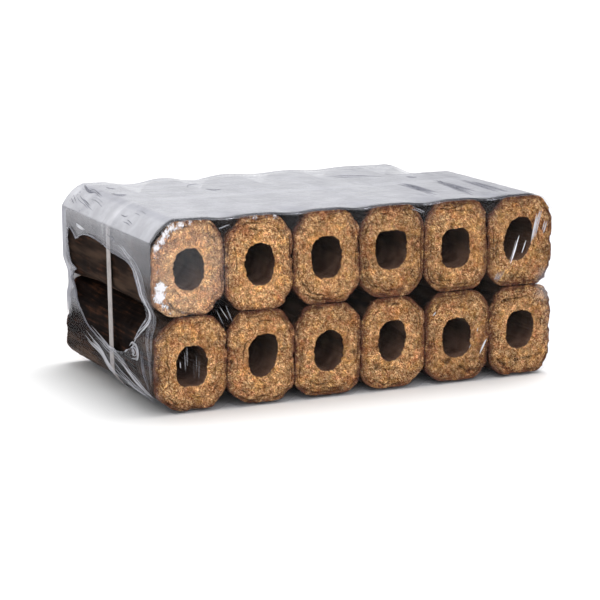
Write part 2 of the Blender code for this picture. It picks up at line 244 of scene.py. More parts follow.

# Sharp folds of the film: a guide line, how many, how far apart they lie at its start and end, their half
# width, how milky they are, which on the front stands in as painted glints, and how dark they are, a painted
# shade along the crease. On the left side the guide counts from the log ends and from their base, on the
# front from the middle and from the logs' base, and on the top it is X and Y.
FOLDS = {
    "left": (
        ([(86, 112), (64, 110), (47, 109), (34, 105), (26, 96), (19, 86), (13, 76), (15, 67), (25, 58),
         (36, 49)], 4, (3.5, 3.5), 0.6, 0.6, 0.05),
        ([(84, 117), (66, 114), (48, 111), (34, 107), (23, 100), (16, 91), (9, 83), (6, 72), (8, 58)],
         5, (7, 8), 0.45, 0.36, 0.25),
        ([(78, 120), (62, 117), (50, 113), (38, 109)], 2, (3, 2), 0.5, 0.5, 0.0),
        ([(17, 85), (11, 71), (10, 52), (6, 37), (2, 21)], 4, (6, 5), 0.35, 0.28, 0.4),
        ([(4, 86), (3, 69), (3, 54), (3, 35)], 3, (4, 4), 0.3, 0.28, 0.35),
        ([(25, 45), (19, 29), (7, 17)], 4, (8, 4), 0.4, 0.5, 0.8),
        ([(151, 33), (134, 29), (115, 26), (97, 20), (81, 14), (66, 10)], 5, (7, 3), 0.7, 0.62, 0.1),
        ([(157, 42), (138, 38), (115, 34), (92, 31), (65, 27), (37, 22), (9, 16)],
         5, (4, 6), 0.45, 0.5, 0.2),
        ([(87, 32), (65, 27), (43, 21), (16, 15), (4, 12)], 3, (4, 3), 0.6, 0.6, 0.1),
        ([(95, 23), (75, 20), (52, 15), (25, 11), (5, 9)], 3, (6, 4), 0.5, 0.42, 0.3),
        ([(81, 13), (48, 10), (20, 9)], 2, (3, 3), 0.5, 0.5, 0.1),
        ([(135, 41), (104, 35), (80, 31), (55, 31)], 3, (5, 4), 0.5, 0.42, 0.3),
        ([(47, 41), (40, 46), (34, 45), (31, 42), (33, 37), (45, 35)], 3, (4, 4), 0.8, 0.42, 0.1),
        ([(44, 41), (36, 39)], 3, (6, 5), 1.5, 0.4, 0.15),
        ([(170, 119), (158, 118), (145, 117)], 2, (2.5, 2), 0.9, 0.8, 0.0),
        ([(92, 123), (82, 120), (70, 117)], 2, (3, 3), 0.5, 0.4, 0.5),
    ),
    # On the front the milky blades stand in as painted glints
    "front": (
        ([(140.2, 114), (136.6, 103), (132.6, 91)], 1, (0, 0), 0.5, 1.0, 0.0),
        ([(138.6, 110), (135.5, 100), (132.2, 92)], 3, (3.5, 2), 0.3, 0.7, 0.0),
        ([(147.3, 112), (144.6, 104), (142, 97)], 2, (2.4, 1.5), 0.3, 0.75, 0.0),
        ([(158.6, 134), (155.4, 120), (151.8, 105)], 4, (6, 4), 0.32, 0.8, 0.0),
        ([(159, 132), (156, 120), (153, 110)], 1, (0, 0), 1.2, 0.22, 0.0),
        ([(166, 128), (163.4, 119), (160.8, 111)], 3, (4, 3), 0.32, 0.75, 0.0),
        ([(128, 90), (123, 82), (119, 78)], 3, (5, 4), 0.3, 0.35, 0.1),
        ([(124, 86), (118.8, 79)], 2, (3, 2), 0.35, 0.5, 0.1),
        ([(112.4, 34), (109, 27), (105.4, 20)], 2, (2, 1), 0.45, 0.85, 0.0),
        ([(104.1, 42), (103.2, 39)], 1, (0, 0), 0.5, 0.8, 0.0),
        ([(98, 29), (96.2, 26)], 1, (0, 0), 0.4, 0.6, 0.0),
        ([(66.1, 58), (63.5, 55)], 1, (0, 0), 0.7, 0.8, 0.0),
        ([(-144.6, 50), (-144, 31)], 2, (5, 4), 0.5, 0.09, 0.2),
        ([(-137, 46), (-137, 24)], 3, (9, 8), 0.5, 0.08, 0.2),
        ([(-149.5, 39), (-149, 34)], 1, (0, 0), 0.35, 0.45, 0.0),
        ([(-117, 78), (-113, 72), (-109.8, 67)], 1, (0, 0), 0.35, 0.5, 0.1),
        ([(-120, 76), (-117, 70), (-114, 64)], 1, (0, 0), 0.3, 0.35, 0.1),
        ([(-112, 79), (-106.5, 65)], 1, (0, 0), 0.3, 0.4, 0.1),
        ([(-118, 137), (-114, 138), (-108, 140)], 2, (1.5, 1), 0.5, 0.2, 0.3),
        ([(42, 142), (49, 140), (55, 137)], 2, (2, 2), 0.35, 0.25, 0.3),
    ),
    # On the top the dark blades are painted shade along the creases
    "top": (
        ([(-154, 97), (-157, 79), (-158, 64), (-156, 56)], 3, (3, 1), 0.8, 0.85, 1.0),
        ([(-156, 84), (-155, 65), (-157, 48), (-159, 33)], 2, (3, 2), 0.5, 0.65, 1.0),
        ([(-162, 91), (-165, 74), (-166, 58), (-168, 41)], 2, (3, 2), 0.5, 0.85, 1.0),
        ([(-162, 84), (-164, 66), (-166, 47), (-167, 33)], 2, (3, 3), 0.35, 0.65, 1.0),
        ([(-164, 96), (-166, 85), (-168, 74)], 2, (3, 2), 0.5, 0.65, 0.95),
        ([(-162, 53), (-162, 38), (-164, 22)], 2, (4, 3), 0.35, 0.4, 1.0),
        ([(-142, 75), (-143, 65), (-139, 60)], 1, (0, 0), 1.3, 0.35, 0.9),
        ([(-151, 38), (-149, 26), (-142, 26)], 1, (0, 0), 1.5, 0.35, 0.9),
        ([(-164, -20), (-164, -29), (-163, -33)], 1, (0, 0), 0.5, 0.55, 0.95),
        ([(-166, -32), (-166, -41), (-167, -52)], 2, (4, 3), 0.45, 0.5, 0.95),
        ([(-158, -39), (-158, -48), (-159, -58)], 2, (5, 4), 0.4, 0.45, 0.95),
        ([(-85, 41), (-78, 55), (-68, 57)], 1, (0, 0), 0.8, 0.7, 0.95),
        ([(-74, 29), (-70, 21), (-62, 24)], 1, (0, 0), 0.8, 0.7, 0.95),
        ([(80, 0), (82, -32), (83, -55), (80, -84)], 6, (6, 13), 1.2, 0.2, 0.95),
        ([(86, -10), (86, -30), (84, -50)], 3, (3, 8), 1.0, 0.3, 0.95),
        ([(121, 0), (117, -13), (113, -29)], 2, (3, 3), 1.1, 0.75, 1.0),
        ([(117, -10), (115, -36), (113, -60), (112, -86)], 6, (6, 14), 1.2, 0.21, 0.95),
        ([(116, -20), (114, -42), (112, -58)], 3, (4, 8), 0.9, 0.3, 0.95),
        ([(138, -14), (137, -50), (134, -92)], 5, (7, 12), 1.0, 0.19, 0.95),
        ([(40, 46), (62, 46), (84, 30)], 2, (18, 8), 0.7, 0.4, 0.88),
        ([(104, 27), (108, 20), (115, 16)], 2, (3, 3), 1.0, 0.6, 0.92),
    ),
}

# Frosty spots of the front, which also serve as painted highlights, all at the same Y: X, Z, size and
# strength
FROST_Y = -102
FROST_AND_HIGHLIGHTS = (
    (-167, 122, 6, 0.9), (-167, 128, 7, 1.3), (-163, 133, 8, 1.2), (-160, 138, 8, 1.25),
    (-155, 142, 8, 1.25), (-148, 144, 8, 1.2), (-141, 145, 7, 1.0), (-132, 146, 5, 0.8),
    (-126, 146, 5, 0.75), (-164, 98, 10, 1.5), (-165, 91, 10, 1.5), (-161, 84, 9, 1.0),
    (-166, 110, 8, 0.75), (-155, 79, 7, 0.8), (-147, 77, 6, 0.7), (-95, 145, 5, 0.8), (-88, 146, 6, 0.95),
    (-80, 146, 5, 0.8), (-72, 145, 6, 0.95), (-60, 16, 8, 0.45), (-96, 14, 9, 0.45), (46, 144, 7, 0.65),
    (-20, 145, 8, 0.6),
)

# Which way each side of the film faces
WAYS_OUT = {"left": (-1, 0, 0), "front": (0, -1, 0), "top": (0, 0, 1)}

# The strap: steps along it and points round it, its thickness, its gap to the film, and on the left side how
# far it lies to the front and leans
STRAP_STEPS = 620
STRAP_SIDES = 12
STRAP_THICKNESS = 0.55
STRAP_GAP = 0.25
STRAP_SHIFT = 5.5
STRAP_SLANT = 0.05

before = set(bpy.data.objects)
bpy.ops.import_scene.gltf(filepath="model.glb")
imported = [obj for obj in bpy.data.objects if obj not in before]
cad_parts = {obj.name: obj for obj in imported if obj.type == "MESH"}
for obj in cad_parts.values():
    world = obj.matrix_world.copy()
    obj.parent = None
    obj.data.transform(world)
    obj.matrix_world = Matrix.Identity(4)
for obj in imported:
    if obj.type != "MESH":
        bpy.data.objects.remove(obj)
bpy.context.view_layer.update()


def in_mm(corners):
    """The corners of a CAD part's box in millimetres."""
    return [Vector(corner) / MM for corner in corners]


def hashed(cell, seed):
    """A repeatable number from 0 to 1 for each whole-number cell."""
    x, y, z = (cell[..., axis].astype(np.uint64) for axis in range(3))
    n = x * np.uint64(374761393) + y * np.uint64(668265263) + z * np.uint64(2147483647)
    n = (n + np.uint64(seed * 974711)) * np.uint64(1274126177)
    n = (n ^ (n >> np.uint64(29))) * np.uint64(2654435761)
    n = n ^ (n >> np.uint64(17))
    return (n & np.uint64(0xFFFFFF)).astype(float) / 0xFFFFFF


def smooth_noise(points, seed):
    """Smooth noise from 0 to 1, about one lump per unit."""
    cell = np.floor(points).astype(np.int64)
    part = points - cell
    part = part * part * part * (part * (part * 6 - 15) + 10)
    total = np.zeros(points.shape[:-1])
    for corner in itertools.product((0, 1), repeat=3):
        weight = np.prod(np.where(corner, part, 1 - part), axis=-1)
        total += weight * hashed(cell + corner, seed)
    return total


def layered_noise(points, seed):
    """Smooth noise with finer and fainter lumps added, from about 0 to 1."""
    sizes = [2 ** layer for layer in range(NOISE_LAYERS)]
    total = sum(smooth_noise(points * size, seed + layer) / size for layer, size in enumerate(sizes))
    return total / sum(1 / size for size in sizes)


def chips(points, seed):
    """For each point, how far it is inside its chip (0 at the chip's border) and the chip's own number."""
    cell = np.floor(points).astype(np.int64)
    nearest = np.full(points.shape[:-1], FAR)
    second = nearest.copy()
    number = np.zeros(points.shape[:-1])
    for corner in itertools.product((-1, 0, 1), repeat=3):
        there = cell + corner
        middle = there + np.stack([hashed(there, seed + axis) for axis in (1, 2, 3)], axis=-1)
        away = np.linalg.norm(points - middle, axis=-1)
        closer = away < nearest
        second = np.where(closer, nearest, np.minimum(second, away))
        number = np.where(closer, hashed(there, seed), number)
        nearest = np.where(closer, away, nearest)
    return second - nearest, number


def ramp(value, low, high):
    """0 below low, 1 above high, and smooth between them."""
    t = np.clip((value - low) / (high - low), 0, 1)
    return t * t * (3 - 2 * t)


def unit(vectors):
    """The same ways at length 1."""
    return vectors / np.linalg.norm(vectors, axis=-1, keepdims=True)


def smooth_curve(p0, p1, p2, p3, steps):
    """Points on smooth curves from each p1 toward its p2, given the points before and after them."""
    t = (np.arange(steps) / steps)[None, :, None]
    curve = 0.5 * (2 * p1 + (p2 - p0) * t + (2 * p0 - 5 * p1 + 4 * p2 - p3) * t ** 2
                   + (3 * p1 - p0 - 3 * p2 + p3) * t ** 3)
    return curve.reshape(-1, 2)


def smooth_closed(points, steps):
    """A closed smooth curve through the points, with this many steps between each two."""
    p1 = np.array(points, dtype=float)[:, None]
    p0, p2, p3 = (np.roll(p1, shift, axis=0) for shift in (1, -1, -2))
    return smooth_curve(p0, p1, p2, p3, steps)


def smooth_open(points, steps):
    """A smooth curve through the points, from the first to the last."""
    points = np.array(points, dtype=float)
    ends = np.vstack([2 * points[0] - points[1], points, 2 * points[-1] - points[-2]])
    parts = [ends[i:len(ends) - 3 + i, None] for i in range(4)]
    return np.vstack([smooth_curve(*parts, steps), points[-1:]])


def lengths(line):
    """How far along a line each of its points lies."""
    return np.concatenate([[0], np.cumsum(np.linalg.norm(np.diff(line, axis=0), axis=1))])


def sampled(line, wanted):
    """The points of a line at these distances along it."""
    return np.stack([np.interp(wanted, lengths(line), values) for values in line.T], axis=-1)


def grid_normals(points, closed):
    """The unit normal at each point of a grid of closed rings, itself closed end to end if so said."""
    if closed:
        along = np.roll(points, -1, axis=0) - np.roll(points, 1, axis=0)
    else:
        along = np.gradient(points, axis=0)
    around = np.roll(points, -1, axis=1) - np.roll(points, 1, axis=1)
    normal = np.cross(along, around)
    return normal / np.maximum(np.linalg.norm(normal, axis=-1, keepdims=True), 1e-6)


def placed(name, data):
    """An object of the scene with this mesh, lamp or camera."""
    obj = bpy.data.objects.new(name, data)
    bpy.context.scene.collection.objects.link(obj)
    return obj


def mesh_object(name, points, faces, attributes, finish):
    """A smooth mesh that rides on the pack, with one value per point for each attribute."""
    mesh = bpy.data.meshes.new(name)
    mesh.from_pydata(np.array(points) * MM, [], faces)
    mesh.shade_smooth()
    for label, values in attributes.items():
        layer = mesh.attributes.new(label, "FLOAT", "POINT")
        layer.data.foreach_set("value", np.array(values, dtype=np.float32))
    mesh.materials.append(finish)
    obj = placed(name, mesh)
    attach(obj, "root")
    return obj


def grid_object(name, points, closed, attributes, finish):
    """A mesh over a grid of closed rings."""
    rings, count = points.shape[:2]
    ring, place = np.meshgrid(np.arange(rings if closed else rings - 1), np.arange(count), indexing="ij")
    after, beside = (ring + 1) % rings, (place + 1) % count
    faces = np.stack([
        ring * count + place, after * count + place, after * count + beside, ring * count + beside,
    ], axis=-1)
    faces = faces.reshape(-1, 4).tolist()
    attributes = {label: np.broadcast_to(values, (rings, count)).ravel()
                  for label, values in attributes.items()}
    return mesh_object(name, points.reshape(-1, 3), faces, attributes, finish)


def surface_of(obj):
    """A tree of a mesh's surface in metres, for casting rays at it."""
    corners = [vertex.co.copy() for vertex in obj.data.vertices]
    return BVHTree.FromPolygons(corners, [tuple(face.vertices) for face in obj.data.polygons])


class Value:
    """A number in a node tree, to reckon with like any other number."""

    def __init__(self, nodes, socket):
        self.nodes = nodes
        self.socket = socket

    def __add__(self, other):
        return self.nodes.math("ADD", self, other)

    def __sub__(self, other):
        return self.nodes.math("SUBTRACT", self, other)

    def __rsub__(self, other):
        return self.nodes.math("SUBTRACT", other, self)

    def __mul__(self, other):
        return self.nodes.math("MULTIPLY", self, other)

    def __truediv__(self, other):
        return self.nodes.math("DIVIDE", self, other)

    def __pow__(self, other):
        return self.nodes.math("POWER", self, other)

    def __abs__(self):
        return self.nodes.math("ABSOLUTE", self)

    __radd__ = __add__
    __rmul__ = __mul__

    def at_least(self, other):
        """This value or the other, whichever is more."""
        return self.nodes.math("MAXIMUM", self, other)

    def clamped(self):
        """This value kept from 0 to 1."""
        return self.nodes.math("ADD", self, 0.0, clamp=True)

    def ramp(self, low, high, to_low=0.0, to_high=1.0):
        """One number below low, another above high, and smooth between them."""
        inputs = {"Value": self, "From Min": low, "From Max": high, "To Min": to_low, "To Max": to_high}
        return self.nodes.value("ShaderNodeMapRange", "Result", inputs, interpolation_type="SMOOTHSTEP")


class Nodes:
    """A short way to build the node tree of a material or a world."""

    def __init__(self, owner):
        owner.use_nodes = True
        self.owner = owner
        self.tree = owner.node_tree
        self.tree.nodes.clear()
        self.coordinates = self.add("ShaderNodeTexCoord")
        self.places = self.coordinates.outputs["Object"]

    def add(self, kind, inputs=None, **settings):
        """A new node with these inputs, each a number, a colour or another node's output."""
        node = self.tree.nodes.new(kind)
        for key, value in settings.items():
            setattr(node, key, value)
        for key, value in (inputs or {}).items():
            self.put(node.inputs[key], value)
        return node

    def put(self, socket, value):
        if isinstance(value, Value):
            value = value.socket
        if isinstance(value, bpy.types.NodeSocket):
            self.tree.links.new(value, socket)
        else:
            socket.default_value = (*value, 1.0) if socket.type == "RGBA" else value

    def value(self, kind, output, inputs=None, **settings):
        return Value(self, self.add(kind, inputs, **settings).outputs[output])

    def math(self, operation, a, b=0.0, clamp=False):
        return self.value("ShaderNodeMath", 0, {0: a, 1: b}, operation=operation, use_clamp=clamp)

    def attribute(self, name):
        return self.value("ShaderNodeAttribute", "Fac", attribute_name=name)

    def stretched(self, scale, turn=0.0, tilt=0.0):
        """Coordinates scaled along each axis, turned about Z and tilted about Y."""
        inputs = {"Vector": self.places, "Scale": scale, "Rotation": (0, tilt, turn)}
        return self.add("ShaderNodeMapping", inputs).outputs[0]

    def laid(self, turn, shift, size=(1 / MM, 1 / MM, 1 / MM)):
        """Coordinates for a texture turned in the plane of the log ends, shifted, and as coarse as size."""
        inputs = {"Vector": self.places, "Location": (shift, 0, shift), "Rotation": (0, turn, 0),
                  "Scale": tuple(side * MM for side in size)}
        return self.add("ShaderNodeMapping", inputs, vector_type="TEXTURE").outputs[0]

    def noise(self, scale, detail=3.0, vector=None, roughness=0.55):
        inputs = {"Vector": vector or self.places, "Scale": scale, "Detail": detail, "Roughness": roughness}
        return self.value("ShaderNodeTexNoise", "Fac", inputs)

    def colours(self, value, stops):
        node = self.add("ShaderNodeValToRGB", {"Fac": value})
        elements = node.color_ramp.elements
        while len(elements) < len(stops):
            elements.new(0.5)
        for element, (position, colour) in zip(elements, stops):
            element.position = position
            element.color = (*colour, 1.0)
        return node.outputs["Color"]

    def mix(self, factor, a, b, blend="MIX"):
        node = self.add("ShaderNodeMix", data_type="RGBA", blend_type=blend)
        for k, value in ((0, factor), (6, a), (7, b)):
            self.put(node.inputs[k], value)
        return node.outputs[2]

    def bump(self, height, distance, strength):
        inputs = {"Height": height, "Distance": distance, "Strength": strength}
        return self.add("ShaderNodeBump", inputs).outputs["Normal"]

    def see_through(self, opaque, tint, body):
        """A shader that is its body as far as it is opaque, and clear with this tint elsewhere."""
        clear = self.add("ShaderNodeBsdfTransparent", {"Color": tint})
        return self.add("ShaderNodeMixShader", {0: opaque, 1: clear.outputs[0], 2: body.outputs[0]})

    def finish(self, shader, output="ShaderNodeOutputMaterial"):
        """The material or world, with this shader as its surface."""
        self.add(output, {"Surface": shader.outputs[0]})
        return self.owner


def wood_material():
    """Pressed sawdust: shredded golden fibres on the broken ends, and a scorched brown skin elsewhere."""
    n = Nodes(bpy.data.materials.new("pressed_wood"))
    char, edge, ring = (n.attribute(name) for name in ("char", "edge", "ring"))
    grain = n.noise(1500.0, 2.0)
    blotch = n.noise(75.0, 4.0)
    fibres = n.noise(1.0, 2.0, n.laid(0.25, 0.0, (0.8, 0.85, 3.1)), 0.6)
    for turn, place in ((1.35, 0.31), (2.35, 0.67)):
        other = n.noise(1.0, 2.0, n.laid(turn, place, (0.75, 0.85, 2.9)), 0.6)
        fibres = fibres + (other - fibres) * n.noise(190.0, 1.0, n.laid(0.0, place)).ramp(0.46, 0.54)

    calm = (n.noise(55.0, 2.0).ramp(0.36, 0.62, 0.45, 1.0) - 0.35 * ring + 0.35 * edge).clamped()
    mixed = (0.5 * (grain - 0.5) + (fibres - 0.5)) * (0.80 * calm + 0.42) + 0.5
    end = n.colours(mixed, [
        (0.30, (0.095, 0.034, 0.016)), (0.40, (0.235, 0.098, 0.040)), (0.47, (0.375, 0.186, 0.075)),
        (0.53, (0.490, 0.272, 0.116)), (0.59, (0.635, 0.388, 0.174)), (0.68, (0.880, 0.625, 0.335)),
    ])
    shade = (0.78 * n.noise(260.0).ramp(0.3, 0.7) + 0.62) * (0.44 * blotch.ramp(0.3, 0.7) + 0.78)
    # Darker in the cracks and deep pits, as painted shade
    shade = shade * (0.22 * ring + 0.93) * (1.0 - 0.80 * n.attribute("crack_and_pit_shade")) * n.attribute("tone")
    grey = n.add("ShaderNodeCombineColor", {0: shade, 1: shade, 2: shade}).outputs[0]
    end = n.mix(1.0, end, grey, "MULTIPLY")
    reddish = n.noise(85.0, 3.0, n.laid(0.0, 0.9)).ramp(0.50, 0.64) * (1.0 - ring)
    golden = n.noise(100.0, 2.0, n.laid(0.0, 0.5)).ramp(0.50, 0.62)
    rosy = n.noise(330.0, 2.0).ramp(0.54, 0.66)
    # Darker brown patches round the hole
    brown_near_hole = n.noise(62.0, 3.0, n.laid(0.0, 0.2)).ramp(0.52, 0.66) * ring
    for amount, tint in ((0.8 * reddish, (0.92, 0.70, 0.66)), (0.8 * golden, (1.10, 1.05, 0.84)),
                         (0.75 * rosy, (1.0, 0.86, 0.98)), (0.9 * brown_near_hole, (0.66, 0.52, 0.46))):
        end = n.mix(amount, end, tint, "MULTIPLY")
    # Painted light: the first log's end is paled toward a light beige where the film's glare lies over it
    end = n.mix(n.attribute("painted_film_glare"), end, (0.84, 0.69, 0.56))
    rim = (edge * n.noise(240.0, 4.0).ramp(0.34, 0.56, 0.3, 1.35)).clamped()
    end = n.mix(0.88 * rim, end, (0.110, 0.040, 0.027))
    split = abs(n.noise(150.0, 4.0, None, 0.7) - 0.5).ramp(0.0, 0.020, 1.0, 0.0) * blotch.ramp(0.44, 0.58)
    crumbs = n.noise(420.0, 3.0, None, 0.6).ramp(0.54, 0.64) * (0.9 * edge + 0.22)
    speck = n.noise(720.0, 1.0).ramp(0.68, 0.74).at_least(crumbs).at_least(0.7 * split)
    end = n.mix(0.66 * speck, end, (0.050, 0.020, 0.012))

    streak = n.noise(1.0, 2.0, n.stretched((420, 24, 420)))
    scorched = n.colours(0.5 * blotch + 0.6 * streak, [
        (0.42, (0.003, 0.0016, 0.0016)), (0.58, (0.010, 0.005, 0.0035)), (0.76, (0.055, 0.022, 0.011)),
    ])
    smear = n.noise(1.0, 2.0, n.stretched((110, 16, 110))).ramp(0.35, 0.65)
    rubbed = n.noise(1.0, 3.0, n.stretched((70, 13, 70), 0.1)).ramp(0.40, 0.60, 0.25, 1.75)
    bare = n.mix(smear, (0.040, 0.024, 0.017), (0.104, 0.064, 0.043))
    scorched = n.mix((n.attribute("bare") * rubbed).clamped(), scorched, bare)
    # The hole's wall: a browner tone, mixed in more toward the bottom of the hole as painted light
    bore_and_painted_light = n.mix(blotch.ramp(0.3, 0.7), (0.11, 0.058, 0.040), (0.24, 0.140, 0.095))
    scorched = n.mix(n.attribute("bore_and_painted_light"), scorched, bore_and_painted_light)

    flake = n.value("ShaderNodeTexVoronoi", "Distance", {"Vector": n.places, "Scale": 900.0})
    relief = (0.4 * flake + 2.2 * fibres + grain) * (1.0 - char) + streak * char
    return n.finish(n.add("ShaderNodeBsdfPrincipled", {
        "Base Color": n.mix(char, end, scorched),
        "Roughness": 0.9,
        "Specular IOR Level": 0.04,
        "Normal": n.bump(relief, 0.0007, 0.75),
    }))


def film_material():
    """Clear shrink film: a thin sheet that mirrors more at a glancing angle, milky where it is creased, with
    painted shade and painted highlights on its milky parts.
    """
    n = Nodes(bpy.data.materials.new("film"))
    facing = n.value("ShaderNodeLayerWeight", "Facing", {"Blend": 0.5})
    single = 0.96 * facing ** 5.0 + 0.035
    mirror = 2.0 * single / (single + 1.0) * n.attribute("gloss")
    haze = (n.attribute("haze") * n.noise(60.0, 4.0).ramp(0.35, 0.7, 0.9, 1.1)).clamped()
    # Frosty spots, partly painted highlights, whiten the film in ragged patches
    frost_and_highlight = 0.36 * n.attribute("frost_and_highlight") + n.noise(1.0, 5.0, n.stretched((680, 680, 480)), 0.75)
    haze = haze.at_least(frost_and_highlight.ramp(0.74, 0.93, 0.0, 0.92))
    opaque = (mirror + haze * (1.0 - mirror)).clamped()
    # Painted shade along the top's creases: thin dark lines where the crinkle attribute is set, and soft dark
    # streaks where the streak attribute is set
    lines = abs(n.noise(1.0, 3.0, n.stretched((420, 75, 420), 0.25), 0.6) - 0.5).ramp(0.0, 0.022, 1.0, 0.0)
    lines = lines * n.noise(95.0, 2.0).ramp(0.46, 0.60) * n.attribute("painted_crinkle_shade")
    streak = n.noise(1.0, 2.0, n.stretched((85, 17, 85), -0.1), 0.5).ramp(0.55, 0.70)
    crease = lines.at_least(0.42 * streak * n.attribute("streak"))
    shade = (n.attribute("shade") + 0.5 * crease).clamped()
    relief = n.noise(160.0) + n.noise(1.0, 3.0, n.stretched((300, 300, 60), tilt=0.25))
    # The milky part is darkened by the painted shade toward a dark bluish grey
    body = n.add("ShaderNodeBsdfPrincipled", {
        "Base Color": n.mix(shade, (0.80, 0.802, 0.85), (0.180, 0.186, 0.232)),
        "Metallic": (mirror / opaque.at_least(0.001)).clamped(),
        "Roughness": 0.16,
        "Specular IOR Level": 0.1,
        "Normal": n.bump(relief, 0.0004, 0.35),
    })
    return n.finish(n.see_through(opaque, (0.95, 0.95, 0.96), body))


def strap_material():
    """Whitish plastic band with a fine embossed lattice, a little see-through."""
    n = Nodes(bpy.data.materials.new("strap"))
    weave = n.value("ShaderNodeTexWave", "Fac", {"Vector": n.places, "Scale": 260.0, "Distortion": 0.6,
                                                 "Detail": 1.0}, bands_direction="DIAGONAL")
    body = n.add("ShaderNodeBsdfPrincipled", {
        "Base Color": n.mix(n.noise(240.0).ramp(0.3, 0.7), (0.31, 0.275, 0.265), (0.43, 0.390, 0.378)),
        "Roughness": 0.42,
        "Normal": n.bump(weave, 0.0002, 0.5),
    })
    return n.finish(n.see_through(0.88, (0.9, 0.88, 0.85), body))


def hole_middle(tree, low, high):
    """The X and Z of the middle of a log's hole, half way along the log."""
    start = (low + high) / 2
    ways = ((1, 0, 0), (-1, 0, 0), (0, 0, 1), (0, 0, -1))
    reach = [tree.ray_cast(start * MM, Vector(way))[3] / MM for way in ways]
    return start.x + (reach[0] - reach[1]) / 2, start.z + (reach[2] - reach[3]) / 2


def outline_radii(low, high, middle, cuts, ways):
    """How far a log's outline is from its hole's middle along each way: a box with four cut corners."""
    lines = [((1, 0), high.x - middle[0]), ((-1, 0), middle[0] - low.x),
             ((0, 1), high.z - middle[1]), ((0, -1), middle[1] - low.z)]
    for (cut_across, cut_up), (side, level) in zip(cuts, ((-1, 1), (1, 1), (1, -1), (-1, -1))):
        normal = np.array([side * cut_up, level * cut_across]) / math.hypot(cut_up, cut_across)
        corner = ((high.x if side > 0 else low.x) - side * cut_across - middle[0],
                  (high.z if level > 0 else low.z) - middle[1])
        lines.append((normal, normal @ corner))
    radii = []
    for normal, distance in lines:
        toward = ways @ np.array(normal)
        radii.append(np.where(toward > 0.01, distance / np.maximum(toward, 0.01), FAR))
    radius = np.min(radii, axis=0)
    for _ in range(CORNER_SOFTENING):
        radius = (np.roll(radius, 1) + 2 * radius + np.roll(radius, -1)) / 4
    return radius + TOUCHING


def hole_radii(sizes, ways):
    """How far a hole's wall is from its middle along each way: a rounded oblong that may lean."""
    width, height, upper, lower, lean = sizes
    square = lower + (upper - lower) * ramp(ways[:, 1], -0.4, 0.4)
    across_part = abs(ways[:, 0] - lean * ways[:, 1]) / (width / 2)
    up_part = abs(ways[:, 1]) / (height / 2)
    return (across_part ** square + up_part ** square) ** (-1 / square)


def end_rings(hole, outside, rim, mouth, face_rings):
    """One end's rings from inside the hole to the start of the side: (radius, depth, part) for each ring.

    Part goes from 0 inside the hole's mouth to 1 on the face and on to 2 at the start of the side."""
    rings = []
    for k in range(MOUTH_RINGS):
        turn = k / MOUTH_RINGS * math.pi / 2
        rings.append((hole + mouth * (1 - math.cos(turn)), mouth * (1 - math.sin(turn)), k / MOUTH_RINGS))
    start, stop = hole + mouth, outside - rim
    for k in range(face_rings):
        share = k / face_rings
        rings.append((start + (stop - start) * share, FACE_CROWN * share ** 2, 1.0))
    for k in range(RIM_RINGS):
        turn = k / (RIM_RINGS - 1) * math.pi / 2
        depth = FACE_CROWN + rim * (1 - math.cos(turn))
        rings.append((outside - rim * (1 - math.sin(turn)), depth, 1 + k / (RIM_RINGS - 1)))
    return rings


def crack_marks(points, middle, cracks, seed):
    """How much each point of a broken end lies in one of its cracks or pits, from 0 to 1."""
    places = points[..., [0, 2]] - np.array(middle)
    for axis in range(2):
        places[..., axis] += 3.4 * (layered_noise(points / 5, seed + 110 + axis) - 0.5)
    marks = np.zeros(points.shape[:-1])
    for half_width, line in cracks:
        corners = np.array(line)
        nearest, along = np.full(marks.shape, FAR), np.zeros(marks.shape)
        for i, (a, b) in enumerate(zip(corners[:-1], corners[1:])):
            t = np.clip(((places - a) @ (b - a)) / ((b - a) @ (b - a)), 0, 1)
            away = np.linalg.norm(places - a - t[..., None] * (b - a), axis=-1)
            along = np.where(away < nearest, (i + t) / (len(corners) - 1), along)
            nearest = np.minimum(nearest, away)
        width = half_width * np.sin(np.pi * np.clip(along, 0.12, 0.88)) ** 0.7
        marks = np.maximum(marks, np.exp(-(nearest / width) ** 2))
    return marks * (0.35 + 0.65 * ramp(layered_noise(points / 3, seed + 115), 0.36, 0.56))


def rim_cracks(points, from_rim, seed):
    """Broken cracks that run round a log's end, a few millimetres inside its outline."""
    marks = np.zeros(from_rim.shape)
    for k, (depth, sway, gate) in enumerate(((2.6, 2.4, 0.50), (5.2, 3.6, 0.56), (8.4, 5.0, 0.60))):
        line = depth + sway * (layered_noise(points / 13, seed + 120 + k) - 0.5)
        open_here = ramp(layered_noise(points / 11, seed + 130 + k), gate, gate + 0.08)
        marks = np.maximum(marks, open_here * np.exp(-((from_rim - line) / 0.5) ** 2))
    return marks


def face_relief(points, seed):
    """How deep each point of a broken end lies below the outermost surface."""
    border, number = chips(points / CHIP_SIZE, seed)
    relief = CHIP_DEPTH * number + CHIP_SEAM * (1 - ramp(border, 0.0, 0.35))
    border, number = chips(points / CRUMB_SIZE, seed + 10)
    relief += np.where(number < 0.07, CRUMB_DEPTH, 0.0) * ramp(border, 0.05, 0.4)
    return relief + END_WAVE * layered_noise(points / 12, seed + 20)


def side_relief(points, seed):
    """The scorched skin: long drawn-out ridges and small bits missing."""
    relief = SKIN_DEPTH * layered_noise(points / np.array(SKIN_RIDGES), seed + 50)
    border, number = chips(points / 7, seed + 70)
    return relief + np.where(number < 0.08, SKIN_CHIP_DEPTH, 0.0) * ramp(border, 0.05, 0.5)


def droop(points):
    """How far the film and the log under it fall short at the back corner of the top row's last log."""
    x, y, z = (points[..., axis] for axis in range(3))
    fall = ramp(x - y / 2, 72, 106) * np.clip((y - 40) / 60, 0, 1)
    return DROOP * fall * ramp(z, 105, 136)


